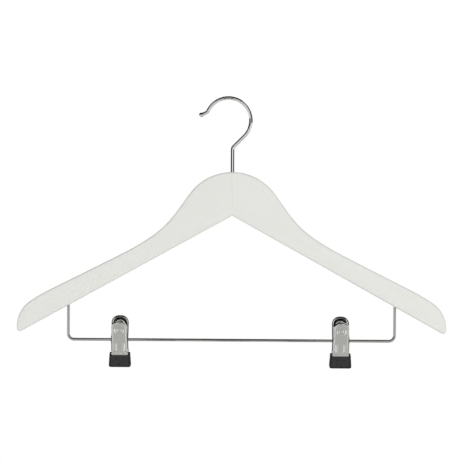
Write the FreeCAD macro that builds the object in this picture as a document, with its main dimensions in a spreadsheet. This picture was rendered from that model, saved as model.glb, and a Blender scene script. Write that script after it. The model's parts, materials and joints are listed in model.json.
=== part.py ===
import FreeCAD, Part
import math
import os

import Sketcher
from FreeCAD import Placement, Rotation, Vector

# Skirt hanger: two wooden arms glued under a swivelling wire hook, a wire bar let into the arms, and two sprung
# clips that slide and swing on the bar. Millimetres and degrees, +X to the right seen from the front, -Y to the
# front, +Z up. The origin is where the swivel axis meets the inside of the hook, the place that hangs on a rail.

SIZES = {
    # wooden arms, outline from the dome at the middle to the tip
    "span": 445.0,
    "arm_thickness": 12.0,
    "joint_height": 45.2,
    "dome_radius": 54.3,
    "flank_slope": 54.3,
    "flank_length": 23.5,
    "waist_radius": 110.0,
    "waist_slope": 33.0,
    "shoulder_radius": 315.0,
    "shoulder_slope": 26.75,
    "end_radius": 151.0,
    "end_slope": 35.25,
    "nose_radius": 31.65,
    "tip_radius": 3.0,
    "underside_slope": 28.97,
    "arm_edge_radius": 2.2,
    # tongue of the right arm in the groove of the left one
    "tongue_thickness": 4.0,
    "tongue_width": 8.0,
    "tongue_height": 12.0,
    "tongue_lift": 4.0,
    "glue_line": 0.1,
    # hook and the sleeve it turns in
    "hook_wire": 3.8,
    "hook_radius": 23.3,
    "hook_offset": 4.5,
    "hook_rise": 53.8,
    "hook_sweep": 155.0,
    "neck_slope": 45.0,
    "neck_radius": 4.5,
    "lip_radius": 4.5,
    "lip_turn": 40.0,
    "lip_length": 5.3,
    "ball_diameter": 5.1,
    "head_diameter": 5.6,
    "head_height": 1.8,
    "head_room": 0.3,
    "head_edge": 0.4,
    "sleeve_diameter": 6.6,
    "sleeve_length": 20.0,
    "sleeve_sink": 0.5,
    "sleeve_band": 4.0,
    "sleeve_waist": 0.3,
    "swivel_clearance": 0.08,
    "press_clearance": 0.05,
    # bar
    "bar_wire": 3.0,
    "bar_drop": 129.3,
    "leg_spread": 338.8,
    "bar_bend_radius": 6.0,
    "leg_depth": 15.0,
    "leg_chamfer": 0.5,
    # clips: where they stand on the bar, and how they hang
    "left_clip_place": 116.0,
    "right_clip_place": 113.5,
    "clip_tilt": 12.5,
    # pivot tube of a clip
    "slide_clearance": 0.08,
    "tube_wall": 0.55,
    "pivot_clearance": 0.08,
    "tube_flange": 0.9,
    "tube_flange_thickness": 0.5,
    "ear_play": 0.1,
    # stamped jaws
    "sheet": 0.7,
    "clip_width": 16.4,
    "lever_lean": 20.2,
    "lever_length": 23.2,
    "lever_corner": 6.9,
    "rim_depth": 2.2,
    "jaw_edge_bevel": 0.6,
    "jaw_bend_radius": 3.5,
    "ear_radius": 3.7,
    "ear_rise": 8.0,
    "flange_end": 1.6,
    "body_drop": 12.6,
    "joggle_depth": 0.7,
    "joggle_height": 1.5,
    "joggle_radius": 0.6,
    "foot_width": 17.6,
    "flare_height": 2.6,
    "foot_end": 27.5,
    "foot_corner": 1.5,
    "bead_offset": 4.1,
    "bead_width": 2.8,
    "bead_height": 0.6,
    "bead_start": 2.2,
    "bead_stop": 11.0,
    "bead_run_out": 2.0,
    "dish_diameter": 11.4,
    "dish_floor": 5.4,
    "dish_depth": 1.1,
    "dish_centre": 13.6,
    # rubber pads
    "jaw_gap": 0.3,
    "grip_wall": 2.4,
    "face_wall": 1.3,
    "slot_clearance": 0.05,
    "pad_top": 14.4,
    "pad_lip": 1.3,
    "pad_bottom": 28.8,
    "pad_top_width": 21.2,
    "pad_bottom_width": 23.2,
    "pad_corner": 2.2,
    "pad_edge_radius": 1.2,
    "pip_diameter": 1.4,
    "pip_depth": 0.4,
    "pip_spread": 7.6,
    "pip_drop": 5.1,
    "pip_step": 6.2,
    "groove_height": 0.9,
    "groove_depth": 0.6,
    "groove_pitch": 2.2,
    "groove_margin": 1.6,
    "groove_lift": 2.0,
    # torsion springs
    "spring_wire": 1.2,
    "coil_clearance": 0.25,
    "coil_room": 0.35,
    "coil_pitch": 2.0,
    "spring_leg": 11.5,
    # how far a cut reaches past the face it opens
    "overrun": 1.0,
}
COIL_TURNS = 4
WIRE_SIDES = 6
GROOVE_COUNT = 5
# What counts as touching, or as in line, when edges and joints are told apart.
NEAR = 1e-4

# Sizes that follow from the ones above, so that pieces that meet share them.
FITS = {
    "hook_drop": "sqrt((Sizes.hook_radius - Sizes.hook_wire / 2) ^ 2 - Sizes.hook_offset ^ 2)",
    "wood_top": "-(hook_drop + Sizes.hook_rise)",
    "bar_level": "wood_top - Sizes.joint_height - Sizes.bar_drop",
    "shoulder_length": "(Sizes.span / 2 - Sizes.dome_radius * sin(Sizes.flank_slope)"
    " - Sizes.flank_length * cos(Sizes.flank_slope)"
    " - Sizes.waist_radius * (sin(Sizes.flank_slope) - sin(Sizes.waist_slope))"
    " - Sizes.shoulder_radius * (sin(Sizes.waist_slope) - sin(Sizes.shoulder_slope))"
    " - Sizes.end_radius * (sin(Sizes.end_slope) - sin(Sizes.shoulder_slope))"
    " - Sizes.nose_radius * (1 - sin(Sizes.end_slope))) / cos(Sizes.shoulder_slope)",
    "sleeve_bore": "Sizes.hook_wire + 2 * Sizes.swivel_clearance",
    "sleeve_hole": "Sizes.sleeve_diameter + 2 * Sizes.press_clearance",
    "sleeve_hole_depth": "Sizes.sleeve_sink + Sizes.sleeve_length + Sizes.head_height + 2 * Sizes.head_room",
    "stem_end": "wood_top - Sizes.sleeve_sink - Sizes.sleeve_length - Sizes.head_room - Sizes.head_height",
    "groove_thickness": "Sizes.tongue_thickness + 2 * Sizes.glue_line",
    "leg_hole": "Sizes.bar_wire + 2 * Sizes.press_clearance",
    "leg_top": "Sizes.bar_drop - Sizes.leg_spread / 2 * tan(Sizes.underside_slope) + Sizes.leg_depth",
    "leg_hole_top": "leg_top + bar_level - wood_top + Sizes.leg_chamfer",
    "tube_bore": "Sizes.bar_wire + 2 * Sizes.slide_clearance",
    "tube_diameter": "tube_bore + 2 * Sizes.tube_wall",
    "ear_hole": "tube_diameter + 2 * Sizes.pivot_clearance",
    "front_width": "Sizes.clip_width - 2 * (Sizes.sheet + Sizes.ear_play)",
    "coil_radius": "tube_diameter / 2 + Sizes.coil_clearance + Sizes.spring_wire / 2",
    "lever_reach": "(coil_radius + Sizes.spring_wire / 2 + Sizes.coil_room + Sizes.sheet) / cos(Sizes.lever_lean)",
    "foot_reach": "Sizes.jaw_gap / 2 + Sizes.grip_wall + Sizes.slot_clearance + Sizes.sheet",
    "pad_depth": "Sizes.grip_wall + Sizes.sheet + 2 * Sizes.slot_clearance + Sizes.face_wall",
    "pad_face": "Sizes.jaw_gap / 2 + pad_depth",
    "slot_middle": "foot_reach - Sizes.sheet / 2",
    "slot_height": "Sizes.sheet + 2 * Sizes.slot_clearance",
    "bead_radius": "(Sizes.bead_height ^ 2 + Sizes.bead_width ^ 2 / 4) / (2 * Sizes.bead_height)",
}

doc = FreeCAD.newDocument("skirt_hanger")


def fill_sheet(name, cells, prefix):
    """One row per size: its name in column A, its value in column B under that name as alias."""
    sheet = doc.addObject("Spreadsheet::Sheet", name)
    for row, (alias, value) in enumerate(cells.items(), start=1):
        sheet.set(f"A{row}", alias)
        sheet.set(f"B{row}", f"{prefix}{value}")
        sheet.setAlias(f"B{row}", alias)
    doc.recompute()
    return sheet


sizes = fill_sheet("Sizes", SIZES, "")
fits = fill_sheet("Fits", FITS, "=")


def cosine(angle):
    return math.cos(math.radians(angle))


def sine(angle):
    return math.sin(math.radians(angle))


def heading(angle):
    """Unit vector at this angle from the sketch's first axis."""
    return Vector(cosine(angle), sine(angle))


def square_to(direction):
    """The direction turned a quarter turn to the left."""
    return Vector(-direction.y, direction.x)


def middle_of_arc(start, corner, end):
    """Middle point of the arc that is tangent to start-corner and corner-end, both of one length."""
    chord_middle = (start + end) * 0.5
    half_chord = (end - start).Length / 2
    rise = (corner - chord_middle).Length
    sagitta = half_chord * math.tan(math.atan2(rise, half_chord) / 2)
    return chord_middle + (corner - chord_middle) * (sagitta / rise)


def rounded(corners):
    """Closed outline through (point, radius) corners, as lines and tangent arcs."""
    joints = []
    for n, (point, radius) in enumerate(corners):
        before = (corners[n - 1][0] - point).normalize()
        after = (corners[(n + 1) % len(corners)][0] - point).normalize()
        half_angle = before.getAngle(after) / 2
        reach = radius / math.tan(half_angle)
        joints.append((point + before * reach, point, point + after * reach, radius))
    segments = []
    for n, (start, point, end, radius) in enumerate(joints):
        if radius:
            segments.append(("arc", start, middle_of_arc(start, point, end), end))
        segments.append(("line", end, joints[(n + 1) % len(joints)][0]))
    return segments


def offset(points, distance):
    """Open polyline moved to its left by a distance, with mitred corners."""
    sides = []
    for here, there in zip(points, points[1:]):
        sides.append((there - here).normalize())
    moved = [points[0] + square_to(sides[0]) * distance]
    for n, point in enumerate(points[1:-1]):
        mitre = (square_to(sides[n]) + square_to(sides[n + 1])).normalize()
        moved.append(point + mitre * (distance / mitre.dot(square_to(sides[n]))))
    moved.append(points[-1] + square_to(sides[-1]) * distance)
    return moved


def tangent_point(point, radius, side):
    """Where a line from a point touches the circle round the origin, on the left (1) or the right (-1) of it."""
    lean = math.degrees(math.acos(radius / point.Length))
    return heading(math.degrees(math.atan2(point.y, point.x)) - side * lean) * radius


def new_body(label):
    body = doc.addObject("PartDesign::Body", label)
    body.Label = label
    return body


def plane(body, role):
    return [item for item in body.Origin.OriginFeatures if item.Role == role][0]


def attach(item, body, role):
    item.AttachmentSupport = (plane(body, role), [""])
    item.MapMode = "FlatFace"


def new_sketch(body, name, role, height=None):
    """Sketch on one of the body's own planes, raised from it by a height that is tied to the sheets."""
    sketch = body.newObject("Sketcher::SketchObject", name)
    attach(sketch, body, role)
    if height:
        sketch.setExpression("AttachmentOffset.Base.z", height)
    return sketch


def end_of(sketch, index, point):
    """Which end of a line or arc, 1 or 2, lies at a point."""
    return min((1, 2), key=lambda end: (sketch.getPoint(index, end) - point).Length)


def direction_at(segment, point):
    """Direction of a segment at one of its ends, without regard to its sense."""
    if segment[0] == "line":
        return (segment[2] - segment[1]).normalize()
    arc = Part.Arc(*segment[1:])
    return Vector(*arc.tangent(arc.parameter(point))[0])


def draw(sketch, segments, closed=True):
    """Adds lines and arcs, tangent where they run smoothly into each other and joined at a corner elsewhere."""
    for kind, *points in segments:
        shape = Part.LineSegment(*points) if kind == "line" else Part.Arc(*points)
        sketch.addGeometry(shape, False)
    pairs = [(n, (n + 1) % len(segments)) for n in range(len(segments) - (0 if closed else 1))]
    for first, second in pairs:
        point = segments[first][-1]
        ends = (first, end_of(sketch, first, point), second, end_of(sketch, second, point))
        one, other = direction_at(segments[first], point), direction_at(segments[second], point)
        smooth = one.cross(other).Length < NEAR
        sketch.addConstraint(Sketcher.Constraint("Tangent" if smooth else "Coincident", *ends))


def tie(sketch, kind, where, value, expression):
    """A dimension of the sketch, bound to the sheets."""
    index = sketch.addConstraint(Sketcher.Constraint(kind, *where, value))
    sketch.setExpression(f"Constraints[{index}]", expression)


def tie_radii(sketch, names):
    """Ties the arcs of a sketch, in the order they were drawn, to sizes."""
    arcs = [n for n, shape in enumerate(sketch.Geometry) if isinstance(shape, Part.ArcOfCircle)]
    for index, expression in zip(arcs, names):
        if expression:
            tie(sketch, "Radius", (index,), sketch.Geometry[index].Radius, expression)


def circle_sketch(body, name, role, diameter, height=None, centre=Vector(), places=None):
    """Sketch of one circle whose diameter, and place if it is off the axis, are tied to the sheets."""
    sketch = new_sketch(body, name, role, height)
    sketch.addGeometry(Part.Circle(centre, Vector(0, 0, 1), 1.0), False)
    tie(sketch, "Diameter", (0,), 2.0, diameter)
    for kind, value, expression in zip(("DistanceX", "DistanceY"), (centre.x, centre.y), places or (None, None)):
        if expression:
            tie(sketch, kind, (-1, 1, 0, 3), value, expression)
        else:
            sketch.addConstraint(Sketcher.Constraint("PointOnObject", 0, 3, -2 if kind == "DistanceX" else -1))
    return sketch


def pad(body, sketch, length, symmetric=False, inward=False):
    feature = body.newObject("PartDesign::Pad", sketch.Name + "_pad")
    feature.Profile = sketch
    feature.SideType = "Symmetric" if symmetric else "One side"
    feature.Reversed = inward
    feature.setExpression("Length", length)
    doc.recompute()
    return feature


def volume_of(body):
    """Volume of the body so far."""
    return body.Shape.Volume if body.Tip else 0


def removed(body, feature, before):
    """Checks that a cut has taken something away."""
    doc.recompute()
    if not feature.Shape.Volume < before - NEAR:
        raise RuntimeError(f"{body.Label}: {feature.Name} cuts nothing")
    return feature


def pocket(body, sketch, length=None, symmetric=False, upward=False):
    """Cut through everything on one side of the sketch, or to a tied length."""
    before = volume_of(body)
    feature = body.newObject("PartDesign::Pocket", sketch.Name + "_cut")
    feature.Profile = sketch
    feature.Reversed = upward
    if length:
        feature.SideType = "Symmetric" if symmetric else "One side"
        feature.setExpression("Length", length)
    else:
        feature.Type = "ThroughAll"
    return removed(body, feature, before)


def turned(body, sketch, start, end, kind="PartDesign::Revolution"):
    """Revolution, or groove, of a sketch round a line through two of its points."""
    before = volume_of(body)
    sketch.addGeometry(Part.LineSegment(start, end), True)
    doc.recompute()
    feature = body.newObject(kind, sketch.Name + "_turned")
    feature.Profile = sketch
    feature.ReferenceAxis = (sketch, ["Axis0"])
    doc.recompute()
    return removed(body, feature, before) if kind.endswith("Groove") else feature


def round_edges(body, name, kind, size, chosen):
    """Fillet or chamfer on the edges of the body so far that a test picks."""
    base = body.Tip
    names = [f"Edge{n}" for n, edge in enumerate(base.Shape.Edges, start=1) if chosen(edge)]
    feature = body.newObject(f"PartDesign::{kind}", name)
    feature.Base = (base, names)
    feature.setExpression("Radius" if kind == "Fillet" else "Size", size)
    doc.recompute()
    return feature


def points_along(edge):
    """Both ends and the middle of an edge."""
    first, last = edge.ParameterRange
    return [edge.valueAt(first), edge.valueAt((first + last) / 2), edge.valueAt(last)]


def arm_outline(side):
    """Half of the wood seen from the front: dome, flank, waist, shoulder, nose and the straight underside."""
    at = Vector(0, 0)
    segments = []
    bends = [
        (sizes.dome_radius, 0, sizes.flank_slope, -1, sizes.flank_length),
        (sizes.waist_radius, sizes.flank_slope, sizes.waist_slope, 1, 0),
        (sizes.shoulder_radius, sizes.waist_slope, sizes.shoulder_slope, 1, fits.shoulder_length),
        (sizes.end_radius, sizes.shoulder_slope, sizes.end_slope, -1, 0),
    ]
    for radius, start_slope, end_slope, bend, run in bends:
        centre = at + square_to(heading(-start_slope)) * (bend * radius)
        spokes = [square_to(heading(-slope)) * (-bend * radius)
                  for slope in (start_slope, (start_slope + end_slope) / 2, end_slope)]
        segments.append(("arc", *[centre + spoke for spoke in spokes]))
        at = segments[-1][-1]
        if run:
            segments.append(("line", at, at + heading(-end_slope) * run))
            at = segments[-1][-1]
    nose_centre = at - square_to(heading(-sizes.end_slope)) * sizes.nose_radius
    notch = Vector(0, -sizes.joint_height)
    along = heading(-sizes.underside_slope)
    lift = (nose_centre - notch).dot(square_to(along))
    fall = math.degrees(math.acos((lift - sizes.tip_radius) / (sizes.nose_radius - sizes.tip_radius)))
    to_tip = square_to(along) * -cosine(fall) + along * sine(fall)
    tip_centre = nose_centre + to_tip * (sizes.nose_radius - sizes.tip_radius)
    nose_end = nose_centre + to_tip * sizes.nose_radius
    between = ((at - nose_centre).normalize() + to_tip).normalize()
    segments.append(("arc", at, nose_centre + between * sizes.nose_radius, nose_end))
    tip_end = tip_centre - square_to(along) * sizes.tip_radius
    tip_middle = tip_centre + (to_tip - square_to(along)).normalize() * sizes.tip_radius
    segments.append(("arc", nose_end, tip_middle, tip_end))
    segments.append(("line", tip_end, notch))
    segments.append(("line", notch, Vector(0, 0)))
    mirrored = []
    for kind, *points in segments:
        mirrored.append((kind, *[Vector(side * point.x, point.y) for point in points]))
    return mirrored


def arm(label, side):
    """One wooden arm: the right one (side 1) carries the tongue, the left one (side -1) its groove."""
    body = new_body(label)
    outline = new_sketch(body, f"{label}_outline", "XZ_Plane")
    draw(outline, arm_outline(side))
    radii = ("dome", "waist", "shoulder", "end", "nose", "tip")
    tie_radii(outline, [f"Sizes.{name}_radius" for name in radii])
    joint_line = outline.GeometryCount - 1
    tie(outline, "Distance", (joint_line,), sizes.joint_height, "Sizes.joint_height")
    pad(body, outline, "Sizes.arm_thickness", symmetric=True)

    def outer_edge(edge):
        return all(abs(abs(p.y) - sizes.arm_thickness / 2) < NEAR for p in points_along(edge)) and any(
            abs(p.x) > NEAR for p in points_along(edge)
        )

    round_edges(body, f"{label}_edges", "Fillet", "Sizes.arm_edge_radius", outer_edge)

    play = 0 if side > 0 else sizes.glue_line
    foot = sizes.tongue_lift - sizes.joint_height
    half = sizes.tongue_thickness / 2 + play
    low, high = foot - play, foot + sizes.tongue_height + play
    key = new_sketch(body, f"{label}_tongue", "YZ_Plane")
    corners = [Vector(-half, low), Vector(half, low), Vector(half, high), Vector(-half, high)]
    draw(key, rounded([(corner, 0) for corner in corners]))
    thickness = "Sizes.tongue_thickness" if side > 0 else "Fits.groove_thickness"
    tie(key, "Distance", (0,), 2 * half, thickness)
    if side > 0:
        pad(body, key, "Sizes.tongue_width", inward=True)
    else:
        pocket(body, key, "Sizes.tongue_width + Sizes.glue_line")

    stem = circle_sketch(body, f"{label}_stem_hole", "XY_Plane", "Fits.sleeve_hole")
    pocket(body, stem, "Fits.sleeve_hole_depth")
    centre = Vector(side * sizes.leg_spread / 2, 0)
    place = ("Sizes.leg_spread / 2", None) if side > 0 else ("-Sizes.leg_spread / 2", None)
    leg = circle_sketch(body, f"{label}_leg_hole", "XY_Plane", "Fits.leg_hole", "Fits.leg_hole_top", centre, place)
    pocket(body, leg)
    body.setExpression("Placement.Base.z", "Fits.wood_top")
    return body


def hook():
    """Bent wire: headed stem, slanting neck, round hook and a lip with a ball, all in the plane of the arms."""
    body = new_body("hook")
    centre = Vector(-sizes.hook_offset, -fits.hook_drop)
    neck_joint = centre + heading(sizes.neck_slope - 90) * sizes.hook_radius
    neck_corner = Vector(0, neck_joint.y - neck_joint.x * math.tan(math.radians(sizes.neck_slope)))
    reach = sizes.neck_radius * math.tan(math.radians((90 - sizes.neck_slope) / 2))
    neck_low = neck_corner - Vector(0, reach)
    neck_high = neck_corner + heading(sizes.neck_slope) * reach
    turn = sizes.hook_sweep - sizes.neck_slope + 90
    rising, crown, falling, hook_end = [
        centre + heading(sizes.hook_sweep - turn * share) * sizes.hook_radius for share in (0.75, 0.5, 0.25, 0)
    ]
    lip_centre = centre + heading(sizes.hook_sweep) * (sizes.hook_radius + sizes.lip_radius)
    lip_spokes = [heading(sizes.hook_sweep + 180 - turn) * sizes.lip_radius
                  for turn in (sizes.lip_turn / 2, sizes.lip_turn)]
    lip_end = lip_centre + lip_spokes[1]
    lip_way = heading(sizes.hook_sweep + 90 - sizes.lip_turn)
    ball_centre = lip_end + lip_way * sizes.lip_length
    stem_end = Vector(0, fits.stem_end)
    path = new_sketch(body, "hook_path", "XZ_Plane")
    segments = [
        ("line", stem_end, neck_low),
        ("arc", neck_low, middle_of_arc(neck_low, neck_corner, neck_high), neck_high),
        ("line", neck_high, neck_joint),
        ("arc", neck_joint, rising, crown),
        ("arc", crown, falling, hook_end),
        ("arc", hook_end, lip_centre + lip_spokes[0], lip_end),
        ("line", lip_end, ball_centre),
    ]
    draw(path, segments, closed=False)
    tie_radii(path, ("Sizes.neck_radius", "Sizes.hook_radius", "Sizes.hook_radius", "Sizes.lip_radius"))
    section = circle_sketch(body, "hook_section", "XY_Plane", "Sizes.hook_wire", "Fits.stem_end")
    doc.recompute()
    wire = body.newObject("PartDesign::AdditivePipe", "hook_wire")
    wire.Profile = section
    wire.Spine = (path, [f"Edge{n}" for n in range(1, len(segments) + 1)])
    doc.recompute()
    along, across = lip_way * (sizes.ball_diameter / 2), square_to(lip_way) * (sizes.ball_diameter / 2)
    ball = new_sketch(body, "hook_ball", "XZ_Plane")
    ends = (ball_centre - along, ball_centre + along)
    draw(ball, [("arc", ends[0], ball_centre + across, ends[1]), ("line", ends[1], ends[0])])
    tie_radii(ball, ("Sizes.ball_diameter / 2",))
    turned(body, ball, *ends)
    head = circle_sketch(body, "hook_head", "XY_Plane", "Sizes.head_diameter", "Fits.stem_end")
    pad(body, head, "Sizes.head_height")
    level = fits.stem_end
    round_edges(body, "hook_head_edge", "Chamfer", "Sizes.head_edge",
                lambda edge: all(abs(p.z - level) < NEAR for p in points_along(edge)))
    return body


def hook_sleeve():
    """Sleeve pressed into the wood round the stem: two bands, a waist for glue, and the hook's head under it."""
    body = new_body("hook_sleeve")
    bore = fits.sleeve_bore / 2
    outer = sizes.sleeve_diameter / 2
    waist = outer - sizes.sleeve_waist
    high, low, end = -sizes.sleeve_band, sizes.sleeve_band - sizes.sleeve_length, -sizes.sleeve_length
    corners = [
        (bore, 0), (outer, 0), (outer, high), (waist, high),
        (waist, low), (outer, low), (outer, end), (bore, end),
    ]
    section = new_sketch(body, "sleeve_section", "XZ_Plane")
    draw(section, rounded([(Vector(*corner), 0) for corner in corners]))
    turned(body, section, Vector(0, 0), Vector(0, end))
    body.setExpression("Placement.Base.z", "Fits.wood_top - Sizes.sleeve_sink")
    return body


def clip_bar():
    """Wire bar, bent up at both ends into legs that sit in the undersides of the arms."""
    body = new_body("clip_bar")
    half = sizes.leg_spread / 2
    bend = sizes.bar_bend_radius
    ends = []
    for side in (-1, 1):
        corner = Vector(side * half, 0)
        ends.append((Vector(side * half, fits.leg_top), corner + Vector(0, bend), corner,
                     corner - Vector(side * bend, 0)))
    (left_top, left_high, left_corner, left_low), (right_top, right_high, right_corner, right_low) = ends
    segments = [
        ("line", left_top, left_high),
        ("arc", left_high, middle_of_arc(left_high, left_corner, left_low), left_low),
        ("line", left_low, right_low),
        ("arc", right_low, middle_of_arc(right_low, right_corner, right_high), right_high),
        ("line", right_high, right_top),
    ]
    path = new_sketch(body, "bar_path", "XZ_Plane")
    draw(path, segments, closed=False)
    tie_radii(path, ("Sizes.bar_bend_radius", "Sizes.bar_bend_radius"))
    centre = Vector(-half, 0)
    section = circle_sketch(body, "bar_section", "XY_Plane", "Sizes.bar_wire", "Fits.leg_top", centre,
                            ("-Sizes.leg_spread / 2", None))
    doc.recompute()
    wire = body.newObject("PartDesign::AdditivePipe", "bar_wire")
    wire.Profile = section
    wire.Spine = (path, [f"Edge{n}" for n in range(1, len(segments) + 1)])
    doc.recompute()
    top = fits.leg_top
    round_edges(body, "bar_ends", "Chamfer", "Sizes.leg_chamfer",
                lambda edge: all(abs(p.z - top) < NEAR for p in points_along(edge)))
    body.setExpression("Placement.Base.z", "Fits.bar_level")
    return body


def seat_on_bar(item, place, back):
    """Puts a piece of a clip at its place on the bar, tilted as it hangs; a back piece is turned to face back."""
    tilt = "rotation(vector(1; 0; 0); Sizes.clip_tilt)"
    turn = f"rotation(vector(0; 0; 1); {180 if back else 0})"
    item.setExpression("Placement", f"placement(vector({place}; 0; Fits.bar_level); {tilt} * {turn})")


def pivot_tube(label):
    """Tubular rivet along the bar, with a rolled flange outside each outer ear."""
    body = new_body(label)
    bore, outer = fits.tube_bore / 2, fits.tube_diameter / 2
    rim = outer + sizes.tube_flange
    inside = sizes.clip_width / 2 + sizes.ear_play
    end = inside + sizes.tube_flange_thickness
    half = [Vector(end, bore), Vector(end, rim), Vector(inside, rim), Vector(inside, outer)]
    points = half + [Vector(-point.x, point.y) for point in reversed(half)]
    section = new_sketch(body, f"{label}_section", "XZ_Plane")
    draw(section, rounded([(point, 0) for point in points]))
    turned(body, section, Vector(-end, 0), Vector(end, 0))
    return body


class JawLines:
    """Side view of a front jaw, Y across and Z up, with the pivot at the origin."""

    up = heading(90 + sizes.lever_lean)
    inward = heading(sizes.lever_lean)
    knee = Vector(-fits.lever_reach, 0)
    body_end = Vector(sizes.joggle_depth - fits.foot_reach, -sizes.body_drop)
    down = (body_end - knee).normalize()
    body_inward = square_to(down)
    ear_top = knee + up * sizes.ear_rise
    foot_top = Vector(-fits.foot_reach, -sizes.body_drop - sizes.joggle_height)
    foot_end = Vector(-fits.foot_reach, -sizes.foot_end)
    flare_start = knee + down * ((sizes.body_drop - sizes.flare_height) / -down.y)


def lever_sketch(body, name, inset, width, depth):
    """Thumb lever seen square on, its tip rounded, drawn on the lever's own leaning plane."""
    sketch = new_sketch(body, name, "XZ_Plane")
    lean = Rotation(Vector(1, 0, 0), sizes.lever_lean)
    at = JawLines.knee + JawLines.inward * depth
    sketch.AttachmentOffset = Placement(Vector(0, at.y, -at.x), lean)
    half, top, corner = width / 2 - inset, sizes.lever_length - inset, sizes.lever_corner - inset
    corners = [(Vector(half, 0), 0), (Vector(half, top), corner), (Vector(-half, top), corner), (Vector(-half, 0), 0)]
    draw(sketch, rounded(corners))
    tie_radii(sketch, ["Sizes.lever_corner" if not inset else "Sizes.lever_corner - Sizes.sheet"])
    return sketch


def channel_sketch(body, name):
    """Ear and side flanges of a jaw: along the lever and the body, and round the pivot."""
    lines = JawLines
    rim = lines.ear_top + lines.inward * sizes.rim_depth
    end = lines.body_end + Vector(sizes.flange_end, 0)
    low = tangent_point(end, sizes.ear_radius, -1)
    high = tangent_point(rim, sizes.ear_radius, 1)
    bend = sizes.jaw_bend_radius * math.tan(lines.up.getAngle(lines.down * -1) / 2)
    knee_high, knee_low = lines.knee + lines.up * bend, lines.knee + lines.down * bend
    sketch = new_sketch(body, name, "YZ_Plane")
    segments = [
        ("line", lines.ear_top, knee_high),
        ("arc", knee_high, middle_of_arc(knee_high, lines.knee, knee_low), knee_low),
        ("line", knee_low, lines.body_end),
        ("line", lines.body_end, end),
        ("line", end, low),
        ("arc", low, (low + high).normalize() * sizes.ear_radius, high),
        ("line", high, rim),
        ("line", rim, lines.ear_top),
    ]
    draw(sketch, segments)
    tie_radii(sketch, ("Sizes.jaw_bend_radius", "Sizes.ear_radius"))
    return sketch


def hollow_sketch(body, name):
    """The space inside a jaw, from the inner face of its sheet to past the ears."""
    lines = JawLines
    over = sizes.overrun
    inner = offset([lines.ear_top + lines.up * over, lines.knee, lines.body_end + lines.down * over], sizes.sheet)
    far = sizes.ear_radius + over
    corners = [
        (inner[0], 0),
        (inner[1], sizes.jaw_bend_radius + sizes.sheet),
        (inner[2], 0),
        (Vector(far, inner[2].y), 0),
        (Vector(far, inner[0].y + far), 0),
        (Vector(inner[0].x + lines.inward.x * far, inner[0].y + lines.inward.y * far), 0),
    ]
    sketch = new_sketch(body, name, "YZ_Plane")
    draw(sketch, rounded(corners))
    tie_radii(sketch, ("Sizes.jaw_bend_radius + Sizes.sheet",))
    return sketch


def foot_sketch(body, name):
    """Edge view of the sheet from the flare down: body, outward joggle and the flat foot inside the pad."""
    lines = JawLines
    outer = [lines.flare_start, lines.body_end, lines.foot_top, lines.foot_end]
    inner = offset(outer, sizes.sheet)
    bend, wide = sizes.joggle_radius, sizes.joggle_radius + sizes.sheet
    corners = list(zip(outer, (0, bend, wide, 0))) + list(zip(reversed(inner), (0, bend, wide, 0)))
    sketch = new_sketch(body, name, "YZ_Plane")
    draw(sketch, rounded(corners))
    tie_radii(sketch, ("Sizes.joggle_radius", "Sizes.joggle_radius + Sizes.sheet"))
    return sketch


def flare_sketch(body, name, width, side):
    """What is cut from one side of the foot strip: a slope down to the full foot, and the foot's lower corner."""
    half, foot = side * width / 2, side * sizes.foot_width / 2
    past = foot + side * sizes.overrun
    high = JawLines.flare_start.y
    top = high + sizes.overrun
    low = -sizes.foot_end - sizes.overrun
    shoulder = Vector(foot, -sizes.body_drop - sizes.joggle_height)
    sketch = new_sketch(body, name, "XZ_Plane")
    corner = sizes.foot_corner
    turn, stop = Vector(foot, -sizes.foot_end), Vector(foot - side * corner, -sizes.foot_end)
    start = turn + Vector(0, corner)
    segments = [
        ("line", Vector(half, top), Vector(half, high)),
        ("line", Vector(half, high), shoulder),
        ("line", shoulder, start),
        ("arc", start, middle_of_arc(start, turn, stop), stop),
        ("line", stop, Vector(stop.x, low)),
        ("line", Vector(stop.x, low), Vector(past, low)),
        ("line", Vector(past, low), Vector(past, top)),
        ("line", Vector(past, top), Vector(half, top)),
    ]
    draw(sketch, segments)
    tie_radii(sketch, ("Sizes.foot_corner",))
    return sketch


def bead(body, name, side, radius, kind):
    """Bead down the body of a jaw: raised outside, or sunk inside, as a rod with tapered ends round its axis."""
    lines = JawLines
    axis = lines.knee + lines.body_inward * (fits.bead_radius - sizes.bead_height)
    crest = lines.body_inward * -radius
    flush = lines.body_inward * (sizes.bead_height - radius)
    run_out = lines.down * sizes.bead_run_out
    start, stop = axis + lines.down * sizes.bead_start, axis + lines.down * sizes.bead_stop
    points = [start, start + flush, start + run_out + crest, stop - run_out + crest, stop + flush, stop]
    sketch = new_sketch(body, name, "YZ_Plane", f"{side} * Sizes.bead_offset")
    draw(sketch, rounded([(point, 0) for point in points]))
    turned(body, sketch, start, stop, kind)


def dish(body, label):
    """Round thumb dish pressed into the lever: its bulge inside, then its hollow outside, about one axis."""
    lines = JawLines
    centre = lines.knee + lines.up * sizes.dish_centre
    steep, flat = sizes.dish_diameter / 2, sizes.dish_floor / 2

    def cap(name, surface, base, kind):
        floor = centre + lines.inward * (surface + sizes.dish_depth)
        edge = centre + lines.inward * surface + lines.up * steep
        foot = centre + lines.inward * base
        points = [floor, foot, foot + lines.up * steep, edge, floor + lines.up * flat]
        sketch = new_sketch(body, name, "YZ_Plane")
        draw(sketch, rounded([(point, 0) for point in points]))
        turned(body, sketch, foot, floor, kind)

    cap(f"{label}_bulge", sizes.sheet, sizes.sheet / 2, "PartDesign::Revolution")
    cap(f"{label}_dish", 0, -sizes.overrun, "PartDesign::Groove")


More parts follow.
